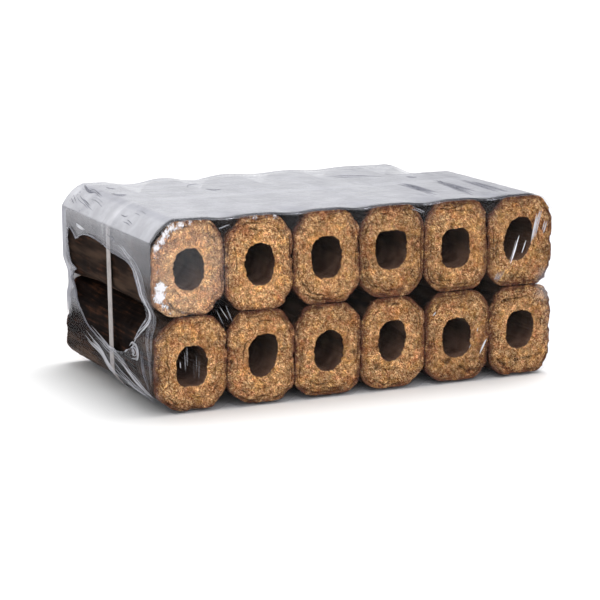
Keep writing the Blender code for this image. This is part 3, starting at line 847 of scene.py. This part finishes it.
def log_rings(low, high, hole, outside, rim, mouth, side_rings):
    """A log's rings from one end round to the other and back through its hole, as (radius, Y, part)."""
    front = low.y + FACE_SETBACK
    back = high.y - FACE_SETBACK
    rings = [(radius, front + depth, part)
             for radius, depth, part in end_rings(hole, outside, rim, mouth, FACE_RINGS["front"])]
    first, last = front + FACE_CROWN + rim, back - FACE_CROWN - rim
    for k in range(1, side_rings):
        rings.append((outside, first + (last - first) * k / side_rings, 3.0))
    rings += [(radius, back - depth, part)
              for radius, depth, part in reversed(end_rings(hole, outside, rim, mouth, FACE_RINGS["back"]))]
    for k in range(1, BORE_RINGS):
        rings.append((hole, (back - mouth) + (front + mouth - back + mouth) * k / BORE_RINGS, -1.0))
    return [np.array([np.broadcast_to(ring[axis], (ROUND,)) for ring in rings]) for axis in range(3)]


def reshape_outer(points, row, column, middle):
    """Lean, fill and wear down the outer sides of the first and the last logs."""
    left_half = middle[0] - points[..., 0]
    if (row, column) == ("bottom", 0):
        low_back = ramp(points[..., 1], 10, 95) * ramp(46 - points[..., 2], 0, 12)
        points[..., 0] -= FIRST_LEAN * low_back * ramp(left_half, 0, 20)
    if column == 0:
        reach = FILL_REACH[row]
        near_joint = ramp(reach - abs(points[..., 2] - JOINT_LEVEL), 0, 0.65 * reach)
        near_joint *= ramp(points[..., 1], 40, 90)
        points[..., 0] -= FIRST_FILL * near_joint * ramp(middle[0] - points[..., 0], 4, 18)
    if column == COLUMNS - 1:
        points[..., 0] += LAST_LEAN * ramp(points[..., 0] - middle[0], 4, 28)
    if row == "top":
        points[..., 2] -= droop(points)


def log(row, column, seed, finish):
    """One briquette's closed skin: out of the hole, over a broken end, along the side and back inside."""
    node = f"briquette_{row}_{column + 1}"
    low, high = in_mm(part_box(node))
    middle = hole_middle(surface_of(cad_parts[node]), low, high)
    bearings = np.arange(ROUND) * 2 * math.pi / ROUND
    ways = np.stack([np.cos(bearings), np.sin(bearings)], axis=-1)
    flat = np.stack([ways[:, 0], np.zeros(ROUND), ways[:, 1]], axis=-1)
    outside = outline_radii(low, high, middle, CORNER_CUTS[row][column], ways)
    outside = outside - OUTLINE_WOBBLE * layered_noise(flat * 7.0 + seed, seed + 1)
    hole = hole_radii(HOLES[row][column], ways)
    hole = hole + HOLE_WOBBLE * (layered_noise(flat * 3.5 - seed, seed + 2) - 0.5)
    hole = hole + HOLE_CHIPPING * (layered_noise(flat * 9.0 + seed, seed + 3) - 0.5)
    rim = RIM_RADIUS * (0.55 + 0.9 * smooth_noise(flat * 2.5 + seed, seed))
    mouth = MOUTH_RADIUS * (0.5 + smooth_noise(flat * 3.0 - seed, seed))
    side_rings = SIDE_RINGS["outer" if column in (0, COLUMNS - 1) else "inner"]
    radius, along, part = log_rings(low, high, hole, outside, rim, mouth, side_rings)
    points = flat[None] * radius[..., None] + [middle[0], 0, middle[1]]
    points[..., 1] = along

    at_front = along < 0
    on_side, in_hole = part > 2.5, part < 0
    from_rim = outside - radius
    from_end = np.minimum(along - low.y, high.y - along)
    broken = points.copy()
    broken[..., 1] = np.where(at_front, low.y, high.y)
    marks = crack_marks(broken, middle, CRACKS[row][column], seed) * at_front
    marks = np.maximum(marks, 0.8 * rim_cracks(broken, from_rim, seed) * (part >= 1) * (part < 2.5))
    bitten = ramp(layered_noise(broken / BITE_SIZE, seed + 90), 0.52, 0.74) * ramp(4 - from_rim, 0, 4)
    deep = face_relief(broken, seed) + CRACK_DEPTH * marks + BITE_DEPTH * bitten
    share = np.where(on_side, ramp(END_REACH - from_end, 0, END_REACH), np.where(in_hole, 0.0, 1.0))
    sideways = np.where(on_side, -side_relief(points, seed) * ramp(from_end, 0.5, 6), 0.0)
    sideways += np.where(in_hole, BORE_ROUGHNESS * (layered_noise(points / 6, seed + 100) - 0.3), 0.0)
    points[..., 1] += np.where(at_front, 1, -1) * deep * share
    points += flat[None] * sideways[..., None]
    reshape_outer(points, row, column, middle)

    x, y, z = (points[..., axis] for axis in range(3))
    left_half = middle[0] - x
    ragged = LIGHT_END_RAGGED * ramp(layered_noise(points / 4, seed + 80), 0.35, 0.75)
    bright = np.where(at_front, 1.0, 0.35) * (LIGHT_END + ragged)
    char = np.where(on_side, ramp(from_end - bright, 0, 1.8), 0.0)
    # Painted film glare on the first log's end, more on its left half
    painted_film_glare = PAINTED_FILM_GLARE.get((row, column), 0.0)
    attributes = {
        "char": np.where(part < 1, 1 - ramp(part, 0.25, 0.95), char),
        # Painted shade in the cracks and where the broken end lies deepest
        "crack_and_pit_shade": np.maximum(0.8 * ramp(deep, 1.2, 3.2), marks),
        "edge": np.where(part < 1, 0.0, np.exp(-np.maximum(from_rim, 0) / 3.2))
        * (1 - 4.5 * painted_film_glare * ramp(left_half, -6, 12)),
        "tone": TONES[row][column],
        "ring": np.exp(-np.maximum(radius - hole, 0) / 6),
        # Painted light in the hole: its wall lighter toward the bottom, where the light falls in, and darker
        # toward the top
        "bore_and_painted_light": np.where(part < 1, 0.12 + 0.88 * ramp(middle[1] - z, -6, 14), 0.0),
        "bare": np.maximum(0.8 * ramp(40 - z, 0, 30) * ramp(y, -20, 70),
                           0.28 * (row == "top") + 0.4 * (row == "bottom") * ramp(-y, 45, 80)),
        "painted_film_glare": painted_film_glare * (0.75 + 0.5 * ramp(left_half, 0, 24)),
    }
    normals = grid_normals(points, closed=True)
    if normals[MOUTH_RINGS + FACE_RINGS["front"] // 2, 0, 1] > 0:
        points = points[:, ::-1]
        attributes = {label: np.broadcast_to(values, radius.shape)[:, ::-1]
                      for label, values in attributes.items()}
    obj = grid_object(node + "_log", points, True, attributes, finish)
    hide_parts(node)


class Sleeve:
    """The film's sizes, from the CAD sleeve and logs."""

    def __init__(self):
        low, high = in_mm(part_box("film_wrap"))
        self.half_y = (high.y - low.y) / 2 - FILM_SKIN
        self.half_z = (high.z - low.z) / 2 - FILM_SKIN
        self.side_x = high.x - FILM_SKIN
        self.middle_z = (high.z + low.z) / 2
        first_low, first_high = in_mm(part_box("briquette_top_1"))
        self.log_front = first_low.y
        self.log_base = in_mm(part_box("briquette_bottom_1"))[0].z
        self.first_face = ((first_low.x + first_high.x) / 2, low.y, (first_low.z + first_high.z) / 2)
        self.joints = {row: [
            (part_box(f"briquette_{row}_{i}")[1][0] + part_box(f"briquette_{row}_{i + 1}")[0][0]) / 2 / MM
            for i in range(1, COLUMNS)
        ] for row in ROWS}
        strap_low, strap_high = in_mm(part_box("strap"))
        self.strap_y = (strap_low.y + strap_high.y) / 2
        self.strap_half = (strap_high.y - strap_low.y) / 2


def sleeve_section(s):
    """The sleeve's section over the logs, Y and Z about its middle, from the front's top down and round."""
    r = CORNER_RADIUS
    y, z = s.half_y - r, s.half_z - r
    corner = np.linspace(0, math.pi / 2, FILM_CORNER + 2)[1:-1]
    runs = (
        (FILM_FRONT, (-s.half_y, z), (-s.half_y, -z), (-y, -z), math.pi),
        (FILM_BOTTOM, (-y, -s.half_z), (y, -s.half_z), (y, -z), 1.5 * math.pi),
        (FILM_BACK, (s.half_y, -z), (s.half_y, z), (y, z), 0.0),
        (FILM_TOP, (y, s.half_z), (-y, s.half_z), (-y, z), 0.5 * math.pi),
    )
    points = []
    for count, start, stop, centre, turn in runs:
        points += [np.array(start) + (np.array(stop) - start) * share for share in np.linspace(0, 1, count)]
        points += [(centre[0] + r * math.cos(turn + a), centre[1] + r * math.sin(turn + a)) for a in corner]
    return np.array(points)


def opening_border(s, outline, section):
    """The opening's edge as one point for each point of the section, paired by their four quarters."""
    edge = smooth_closed(outline, 24) + [s.log_front, s.log_base - s.middle_z]
    y, z = edge.T
    mid_y, mid_z = (edge.min(axis=0) + edge.max(axis=0)) / 2
    quarters = [0, np.argmin(abs(y - mid_y) + FAR * (z > mid_z)), np.argmax(y - abs(z - mid_z)),
                np.argmin(abs(y - mid_y) + FAR * (z < mid_z))]
    edge = np.vstack([edge, edge[:1]])
    length = lengths(edge)
    count = len(section)
    first = FILM_FRONT // 2
    marks = [first, FILM_FRONT + FILM_CORNER + FILM_BOTTOM // 2,
             FILM_FRONT + 2 * FILM_CORNER + FILM_BOTTOM + FILM_BACK // 2, count - FILM_CORNER - FILM_TOP // 2]
    return sampled(edge, np.interp(
        (np.arange(count) - first) % count,
        [mark - first for mark in marks] + [count],
        [length[quarter] for quarter in quarters] + [length[-1]],
    ))


def shoulder_path():
    """The rounded shoulder from the side end's plane to the flat top: how far in, and short in Y and in Z."""
    slope = SHOULDER_Z / SHOULDER_X
    path = np.array([
        (0, CORNER_RADIUS, SHOULDER_Z),
        (0.3 * CORNER_RADIUS, 0.3 * CORNER_RADIUS, SHOULDER_Z - 0.3 * CORNER_RADIUS * slope),
        (CORNER_RADIUS, 0, SHOULDER_Z - CORNER_RADIUS * slope),
        (SHOULDER_X * 0.40, 0, SHOULDER_Z * 0.55),
        (SHOULDER_X * 0.70, 0, SHOULDER_Z * 0.24),
        (SHOULDER_X * 1.05, 0, SHOULDER_Z * 0.05),
        (SHOULDER_X * 1.5, 0, 0),
    ])
    for _ in range(2):
        middles = (path[1:] + path[:-1]) / 2
        path = np.vstack([path[:1], (middles[1:] + middles[:-1]) / 2, path[-1:]])
        path = np.vstack([path[:1], (path[1:] + path[:-1]) / 2, path[-1:]])
    return path


def waist(z):
    """How far the film pulls in at a side end, between the two rows."""
    return WAIST_DIP * (0.5 + 0.5 * np.cos(np.pi * np.clip(z / WAIST_REACH, -1, 1)))


def side_end(s, section, outline, seed, back_tuck, low_fill):
    """The rings of a side end, from the opening's rolled hem to the end of the shoulder.

    Gives the distance in from the side, Y, Z and the distance from the opening's edge, for each point.
    The tuck pulls the film in at the back under the joint, and the fill pushes it out along its low edge."""
    border = opening_border(s, outline, section)
    flat = section * [1 - CORNER_RADIUS / s.half_y, 1 - SHOULDER_Z / s.half_z]
    reach = np.linalg.norm(flat - border, axis=1)
    outwards = unit(flat - border)
    around = np.stack([section[:, 0], section[:, 1], np.zeros(len(section))], axis=-1)
    thick = HEM_RADIUS * (0.55 + 0.9 * smooth_noise(around / 11 + seed, seed))
    rings = []
    for k in range(HEM_RINGS):
        turn = 2.6 * math.pi * (1 - k / HEM_RINGS)
        curl = 1 - 0.55 * (1 - k / HEM_RINGS)
        away = thick * (2 - math.cos(turn) * curl)
        inward = -thick * math.sin(turn) * curl * 0.9 - 0.3 * thick
        rings.append((inward, border + outwards * away[:, None], np.zeros(len(section))))
    hem = border + outwards * 2.2 * thick[:, None]
    for k in range(SIDE_END_RINGS):
        share = (k / SIDE_END_RINGS) ** 1.35
        rings.append((np.zeros(len(section)), hem + (flat - hem) * share, share * reach))
    path = shoulder_path()
    steps = np.linspace(0, lengths(path)[-1], SHOULDER_RINGS)
    for gone, (back, inset_y, inset_z) in zip(steps, sampled(path, steps)):
        place = section * [1 - inset_y / s.half_y, 1 - inset_z / s.half_z]
        rings.append((np.full(len(section), back), place, reach + gone))
    inward, places, distance = (np.array([ring[k] for ring in rings]) for k in range(3))
    y, z = places[..., 0], places[..., 1]
    level = z + s.middle_z
    pull = ramp(SHOULDER_X - inward, 0, SHOULDER_X / 2)
    tuck = ramp(y, 30, 85) * ramp(level, 34, 44) * ramp(74 - level, 0, 12)
    low = ramp(inward, 0, 5) * ramp(17 - inward, 0, 8) * ramp(-z, 0.6 * s.half_z, 0.8 * s.half_z)
    return inward + pull * (waist(z) + back_tuck * tuck) - low_fill * low, y, z, distance


def notch(x, joints, half_width):
    """1 over the middle of a joint between two logs, falling to 0 at the notch's edges."""
    away = np.min([abs(x - joint) for joint in joints], axis=0)
    return 0.5 + 0.5 * np.cos(np.pi * np.clip(away / half_width, 0, 1))


def across(s, section, start, stop):
    """The rings between the two shoulders, dipping at each joint between logs and least along the middle."""
    xs = np.linspace(start, stop, ACROSS_RINGS)[:, None] * np.ones(len(section))
    y = section[:, 0] * np.ones_like(xs)
    z = section[:, 1] * np.ones_like(xs)
    front, back = (ramp(side * y, s.half_y - 30, s.half_y) for side in (-1, 1))
    sag = TOP_SAG["middle"] + (TOP_SAG["front"] - TOP_SAG["middle"]) * front
    top = notch(xs, s.joints["top"], TOP_NOTCH) * sag
    for joint, depth in zip(s.joints["top"], BACK_SAG):
        top = np.maximum(top, notch(xs, [joint], BACK_NOTCH) * depth * back)
    top = top * (z > s.half_z - CORNER_RADIUS)
    clear_of_strap = ramp(abs(y - s.strap_y), s.strap_half, s.strap_half + 14)
    below = (z < CORNER_RADIUS - s.half_z) * notch(xs, s.joints["bottom"], BOTTOM_NOTCH) * clear_of_strap
    diamond = notch(xs, s.joints["top"], BOTTOM_NOTCH) * np.exp(-(z / 8) ** 2)
    dipped_y = y - np.sign(y) * FRONT_DIP * diamond * (abs(y) > s.half_y - 1)
    return xs, dipped_y, z - top + BOTTOM_ARCH * below


def ridges(phase, sharpness):
    """Sharp ridges at each whole number of the phase."""
    return (1 - abs(np.sin(np.pi * phase))) ** sharpness


def soft_creases(points, distance, s, seed):
    """The film's soft creases, from 0 to 1: along the opening, fanning to the lower front, and upright."""
    x, y, z = (points[..., axis] for axis in range(3))
    from_front = y + s.half_y
    side = ramp(abs(x), s.side_x - 12, s.side_x - 5)
    twist = layered_noise(points / 18, seed) - 0.5
    uneven = ramp(layered_noise(points / 12, seed + 2), 0.30, 0.62)
    forward = ramp(s.half_y - y, 0.75 * s.half_y, 1.1 * s.half_y)
    near_edge = np.exp(-distance / 8) * (0.15 + 0.85 * forward)
    along = near_edge * ridges(distance / 2.4 + 2.6 * twist, 2.2)
    focus_y, focus_z = from_front - 5, z - 6
    bearing, reach = np.arctan2(focus_z, focus_y), np.hypot(focus_y, focus_z)
    fan = ridges(4.6 * bearing + 0.9 * twist, 3) * ramp(reach, 4, 25) * uneven
    fan *= ramp(0.95 - bearing, 0, 0.4) * ramp(bearing, -0.05, 0.1) * ramp(150 - reach, 0, 60)
    upright = ridges(from_front / 4.6 + 1.6 * twist, 2.2) * uneven
    upright *= ramp(30 - from_front, 0, 14) * ramp(104 - z, 0, 24)
    return side * along, side * fan, side * upright


def film_looks(points, normals, creases, s):
    """How milky and how glossy the film is at each point, the painted shade on it, its frosty spots with
    painted highlights, and the painted shade along its creases.
    """
    x, y, z = (points[..., axis] for axis in range(3))
    light = ramp(normals[..., 2], 0.35, 0.60)
    on_front = ramp(-normals[..., 1], 0.4, 0.8)
    flat = np.maximum(ramp(normals[..., 2], 0.75, 0.95),
                      ramp(s.side_x - abs(x), SHOULDER_X, 1.5 * SHOULDER_X))
    side = ramp(abs(normals[..., 0]), 0.68, 0.86)
    upper, upmost = ramp(z, 90, 116), ramp(z, 122, 131)
    behind = ramp(y, 55, 75) * ramp(z, 44, 60) * (1 - upper)
    back_edge = ramp(y, 84, 96) * ramp(z, 36, 56) * (1 - light) * ramp(abs(x), 152, 168)
    groove = ramp(abs(x), 149, 157) * ramp(y, 60, 80) * ramp(18 - abs(z - s.middle_z), 0, 12)
    groove *= normals[..., 1] > 0.5

    plain = np.maximum((HAZE["side"] - HAZE["side front"] * ramp(-y, 40, 95)) * upper, HAZE["least"])
    plain = np.maximum(plain, HAZE["behind"] * behind) + HAZE["upmost"] * upmost
    haze = light * (HAZE["top"] + HAZE["flat"] * flat) + (1 - light) * plain * side
    haze = haze * (1 - 0.85 * light * ramp(-y + 5 * layered_noise(points / 5, 41), 98, 103))
    haze = haze * (1 - 0.95 * ramp(x, 150, 160) * ramp(-y, 80, 92))
    over_strap = ramp(s.strap_half + 5 - abs(y - s.strap_y), 0, 4) * ramp(x, -150, -125)
    for name, amount in (("over strap", light * over_strap), ("back edge", back_edge), ("groove", groove)):
        haze = np.maximum(haze, HAZE[name] * amount)
    clearer = 1 - 0.5 * ramp(-y, 60, 85) * ramp(100 - z, 0, 20)
    creased = sum(share * crease for share, crease in zip(CREASE_HAZE, (clearer * creases[0], *creases[1:])))
    haze = haze + (1 - haze) * np.clip(creased, 0, 1) * (1 - light) * (z > 2)
    first_face = ramp(40 - np.linalg.norm(points - np.array(s.first_face), axis=-1), 0, 16)
    top_notch = notch(x, s.joints["top"], 16) * ramp(z, 122, 140)
    bridge = ramp(x, 152, 166) * ramp(17 - abs(z - s.middle_z), 0, 10)
    for name, amount in (("first face", first_face), ("notch", top_notch), ("bridge", bridge)):
        haze = np.maximum(haze, HAZE[name] * amount * on_front)

    # Frosty spots on the front, partly painted highlights of the film
    frost_and_highlight = np.zeros_like(haze)
    for place_x, place_z, size, strength in FROST_AND_HIGHLIGHTS:
        away = np.linalg.norm(points - np.array((place_x, FROST_Y, place_z)), axis=-1)
        frost_and_highlight = np.maximum(frost_and_highlight, strength * ramp(size - away, 0, size))
    gloss = 0.08 + 0.92 * np.maximum(0.6 * light, side * (0.04 + 0.3 * upper))
    gloss = gloss * (1 - 0.8 * side * (1 - upper) * ramp(y, -40, 40))

    # Painted shade: the side end in shade, and the film behind the gap, in the groove and at the back edge
    # painted dark where only shade is seen; the top's grey is darker on the flat and toward the right, and
    # just under the shoulder the side gets a little painted light
    shade = np.maximum(side * behind * PAINTED_SHADE["behind"],
                       PAINTED_SHADE["groove"] * groove * (0.65 + 0.35 * ramp(163 - abs(x), 0, 4)))
    side_shade = (PAINTED_SHADE["side"] + PAINTED_SHADE["side front"] * ramp(-y, 0, 60)) * (1 - 0.25 * upmost)
    top_shade = PAINTED_SHADE["top"] + flat * (PAINTED_SHADE["flat"] + PAINTED_SHADE["right"] * ramp(x, 0, 170))
    for amount in (side * upper * side_shade, light * top_shade, PAINTED_SHADE["back edge"] * back_edge):
        shade = np.maximum(shade, amount)
    # Less painted shade over the strap on the shoulder, where it shows through, and painted light toward the
    # left of the top
    strap_line = ramp(s.strap_half + 1.5 - abs(y - s.strap_y + 0.55 * STRAP_SHIFT), 0, 1.5)
    shade = shade - PAINTED_SHADE["strap"] * light * strap_line * ramp(-x, 130, 158)
    shade = shade - PAINTED_SHADE["left"] * light * ramp(-x, 40, 140)
    # Where the top carries painted shade along its fine crinkles
    painted_crinkle_shade = ramp(y, 12, 60) + 0.35 * ramp(-y, 5, 20) * ramp(60 + y, 0, 20)
    return {
        "haze": haze * (z > 1),
        "gloss": gloss,
        "shade": shade,
        "frost_and_highlight": frost_and_highlight * on_front,
        "painted_crinkle_shade": light * np.maximum(ramp(-x, 138, 156) * painted_crinkle_shade, 0.12),
        "streak": light * np.maximum(ramp(x, -10, 60), 0.15),
    }


def snugness(points, normals, s):
    """How much closer to the logs than the CAD sleeve the film lies on its sides, away from the strap."""
    beside = ramp(abs(points[..., 1] - s.strap_y), s.strap_half + 0.8, s.strap_half + 9)
    return SNUG * beside * ramp(abs(normals[..., 0]), 0.5, 0.9)


def film(finish):
    """The whole sleeve as one open sheet, with a rolled hem round the opening in each side end."""
    s = Sleeve()
    section = sleeve_section(s)
    left = side_end(s, section, LEFT_OPENING, 3, BACK_TUCK, 0.0)
    right = side_end(s, section, RIGHT_OPENING, 4, 0.0, LAST_FILL)
    inner = s.side_x - 1.5 * SHOULDER_X
    middle = [part[1:-1] for part in across(s, section, -inner, inner)]
    lean = (LAST_LEAN + LEAN_GAP) * ramp(1.5 * SHOULDER_X - right[0], 0, 0.5 * SHOULDER_X)
    xs = np.vstack([left[0] - s.side_x, middle[0], (s.side_x - right[0] + lean)[::-1]])
    ys, zs = (np.vstack([left[k], middle[k], right[k][::-1]]) for k in (1, 2))
    distance = np.vstack([left[3], np.full(middle[0].shape, FAR), right[3][::-1]])
    points = np.stack([xs, ys, zs + s.middle_z], axis=-1)
    normals = grid_normals(points, closed=False)
    if normals[len(left[0]) + ACROSS_RINGS // 2, FILM_FRONT // 2, 1] > 0:
        normals = -normals
    points = points - normals * snugness(points, normals, s)[..., None]
    points[..., 2] -= droop(points)
    creases = soft_creases(points, distance, s, 11)
    attributes = film_looks(points, normals, creases, s)
    wrinkle = layered_noise(points / 30, 16) * layered_noise(points / 9, 18)
    stands = sum(height * crease for height, crease in zip(CREASE_HEIGHTS, creases))
    stands = stands + WRINKLE_HEIGHT * wrinkle * (points[..., 2] > 5)
    points = points + normals * stands[..., None]
    points[..., 2] = np.maximum(points[..., 2], 0.0)
    obj = grid_object("film_sleeve", points, False, attributes, finish)
    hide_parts("film_wrap")
    sharp_folds(obj, s, finish)
    return points


def on_film(tree, s, where, along, across):
    """The point of the film's left side, front or top at a place of that side."""
    if where == "left":
        y, z = s.log_front + along, s.log_base + across
        plain = Vector((waist(z - s.middle_z) - s.side_x, y, z))
    elif where == "top":
        plain = Vector((along, across, s.middle_z + s.half_z))
    else:
        plain = Vector((along, -s.half_y, s.log_base + across))
    out = Vector(WAYS_OUT[where])
    hit = tree.ray_cast((plain + 150 * out) * MM, -out)[0]
    return hit / MM if hit is not None and (hit / MM - plain).length < 20 else plain


def blade(middle, out, half_width):
    """The points of one fold: a thin blade that stands on the film and tapers to both ends."""
    beside = unit(np.cross(np.gradient(middle, axis=0), out))
    taper = np.sin(np.linspace(0.02, math.pi - 0.02, len(middle))) ** 0.6 * half_width
    return np.stack([
        middle + (beside * side + np.array(out) * up) * taper[:, None]
        for side, up in ((1, -0.125), (0.55, 0.3), (0, 0.5), (-0.55, 0.3), (-1, -0.125), (0, -0.25))
    ], axis=1)


def sharp_folds(sleeve, s, finish):
    """The sharpest folds of the film, which stand up as thin milky blades, joined in one mesh; their
    milkiness gives painted glints on the front, and their darkness painted shade along the creases.
    """
    tree = surface_of(sleeve)
    corners, faces, haze, shade = [], [], [], []
    folds = [(where, *fold) for where in FOLDS for fold in FOLDS[where]]
    for index, (where, guide, count, spread, half_width, milkiness_and_glint, painted_crease_shade) in enumerate(folds):
        smooth = smooth_open(guide, 10)
        for k in range(count):
            chance = [hashed(np.array([index, k, n]), 5) for n in range(6)]
            first, last = 0, len(smooth)
            if count > 1:
                first, last = int(chance[1] * 0.3 * len(smooth)), last - int(chance[2] * 0.3 * len(smooth))
            part = smooth[first:last]
            share = np.linspace(first, last - 1, len(part)) / (len(smooth) - 1)
            slope = np.gradient(part, axis=0)
            sideways = unit(np.stack([-slope[:, 1], slope[:, 0]], axis=1))
            offset = (k - (count - 1) / 2 + (chance[0] - 0.5)) / count
            part = part + sideways * ((spread[0] + (spread[1] - spread[0]) * share) * offset)[:, None]
            middle = np.array([on_film(tree, s, where, a, b) for a, b in part])
            for _ in range(2):
                middle[1:-1] = (middle[:-2] + middle[1:-1] + middle[2:]) / 3
            strand = blade(middle, WAYS_OUT[where], half_width * (0.6 + 0.8 * chance[3]))
            start, (steps, sides) = len(corners), strand.shape[:2]
            corners += strand.reshape(-1, 3).tolist()
            for i, j in itertools.product(range(steps - 1), range(sides)):
                a, b = start + i * sides, (j + 1) % sides
                faces.append((a + j, a + b, a + sides + b, a + sides + j))
            faces.append([start + j for j in range(sides)][::-1])
            faces.append([start + (steps - 1) * sides + j for j in range(sides)])
            haze += [milkiness_and_glint * (0.7 + 0.5 * chance[4])] * (steps * sides)
            shade += [painted_crease_shade] * (steps * sides)
    looks = {"haze": haze, "gloss": [SHARP_FOLD_GLOSS] * len(haze), "shade": shade}
    mesh_object("film_folds", corners, faces, looks, finish)


def strap(film_points, finish):
    """The band round the pack: it follows the film's inside over the logs and runs straight down the ends."""
    low, high = in_mm(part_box("strap"))
    half_width, middle_y, middle_z = (high.y - low.y) / 2, (low.y + high.y) / 2, (high.z + low.z) / 2
    end = HEM_RINGS + SIDE_END_RINGS
    over = film_points[end:-end]
    halfway = over[len(over) // 2, :, 1]
    top_start, below = FILM_FRONT + FILM_BOTTOM + FILM_BACK + 3 * FILM_CORNER, FILM_FRONT + FILM_CORNER
    top, under = (start + np.argmin(abs(halfway[start:start + count] - middle_y))
                  for start, count in ((top_start, FILM_TOP), (below, FILM_BOTTOM)))
    path = np.vstack([over[:, top][:, [0, 2]], over[::-1, under][:, [0, 2]]])
    path = np.vstack([path, path[:1]])
    path = sampled(path, np.arange(STRAP_STEPS) / STRAP_STEPS * lengths(path)[-1])
    for _ in range(6):
        path = (np.roll(path, 1, axis=0) + 2 * path + np.roll(path, -1, axis=0)) / 4
    tangent = unit(np.roll(path, -1, axis=0) - np.roll(path, 1, axis=0))
    outward = np.stack([-tangent[:, 1], tangent[:, 0]], axis=-1)
    path = path - outward * (STRAP_THICKNESS / 2 + STRAP_GAP)
    profile = []
    for k in range(STRAP_SIDES):
        turn = 2 * math.pi * (k + 0.5) / STRAP_SIDES
        c, t = math.cos(turn), math.sin(turn)
        profile.append((math.copysign(abs(c) ** 0.25, c) * half_width,
                        math.copysign(abs(t) ** 0.4, t) * STRAP_THICKNESS / 2))
    profile = np.array(profile)
    points = np.empty((STRAP_STEPS, STRAP_SIDES, 3))
    points[..., 0] = path[:, None, 0] + outward[:, None, 0] * profile[None, :, 1]
    points[..., 1] = middle_y + profile[None, :, 0]
    points[..., 2] = path[:, None, 1] + outward[:, None, 1] * profile[None, :, 1]
    on_left = ramp(-points[..., 0], 150, 168)
    points[..., 1] -= on_left * (STRAP_SHIFT + STRAP_SLANT * (middle_z - points[..., 2]))
    obj = grid_object("strap_band", points, True, {}, finish)
    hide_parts("strap")


def stage():
    """A pale floor that runs out of sight, a studio of soft light, and a lamp above, a little behind."""
    n = Nodes(bpy.data.materials.new("floor"))
    shader = n.add("ShaderNodeBsdfPrincipled", {"Base Color": (FLOOR_TONE,) * 3, "Roughness": 0.9,
                                                "Specular IOR Level": 0.1})
    mesh = bpy.data.meshes.new("floor")
    corners = [(x * FLOOR_REACH, y * FLOOR_REACH, 0) for x, y in ((-1, -1), (1, -1), (1, 1), (-1, 1))]
    mesh.from_pydata(corners, [], [(0, 1, 2, 3)])
    mesh.materials.append(n.finish(shader))
    floor = placed("floor", mesh)

    bpy.context.scene.world = studio()
    sun = bpy.data.lights.new("key", "SUN")
    sun.energy = KEY_STRENGTH
    sun.angle = math.radians(KEY_SPREAD)
    placed("key", sun).rotation_euler = (-Vector(KEY_FROM)).to_track_quat("-Z", "Y").to_euler()


def studio():
    """Soft light from all round, strongest from the front, then from behind."""
    n = Nodes(bpy.data.worlds.new("studio"))
    split = n.add("ShaderNodeSeparateXYZ", {0: n.coordinates.outputs["Generated"]})
    total = STUDIO_LEAST
    for axis, low, high, strength in STUDIO_WALLS:
        total = total + Value(n, split.outputs[axis]).ramp(low, high, 0.0, strength)
    light = n.add("ShaderNodeBackground", {"Color": (1.0, 1.0, 1.0), "Strength": total})
    return n.finish(light, "ShaderNodeOutputWorld")


def camera():
    """The camera, in front of the pack, to its left and a little above."""
    data = bpy.data.cameras.new("camera")
    data.sensor_width = CAMERA_SENSOR
    data.lens = CAMERA_LENS
    obj = placed("camera", data)
    obj.location = CAMERA_PLACE
    obj.rotation_euler = (math.radians(90 - CAMERA_PITCH), 0, math.radians(-CAMERA_YAW))
    bpy.context.scene.camera = obj


def main():
    """Set the scene and build the pack: the logs, then the film with its folds, then the strap inside it."""
    camera()
    stage()
    bpy.context.scene.view_settings.view_transform = "Standard"
    wood = wood_material()
    for seed, (row, column) in enumerate(itertools.product(ROWS, range(COLUMNS))):
        log(row, column, 100 * seed + 7, wood)
    strap(film(film_material()), strap_material())


main()
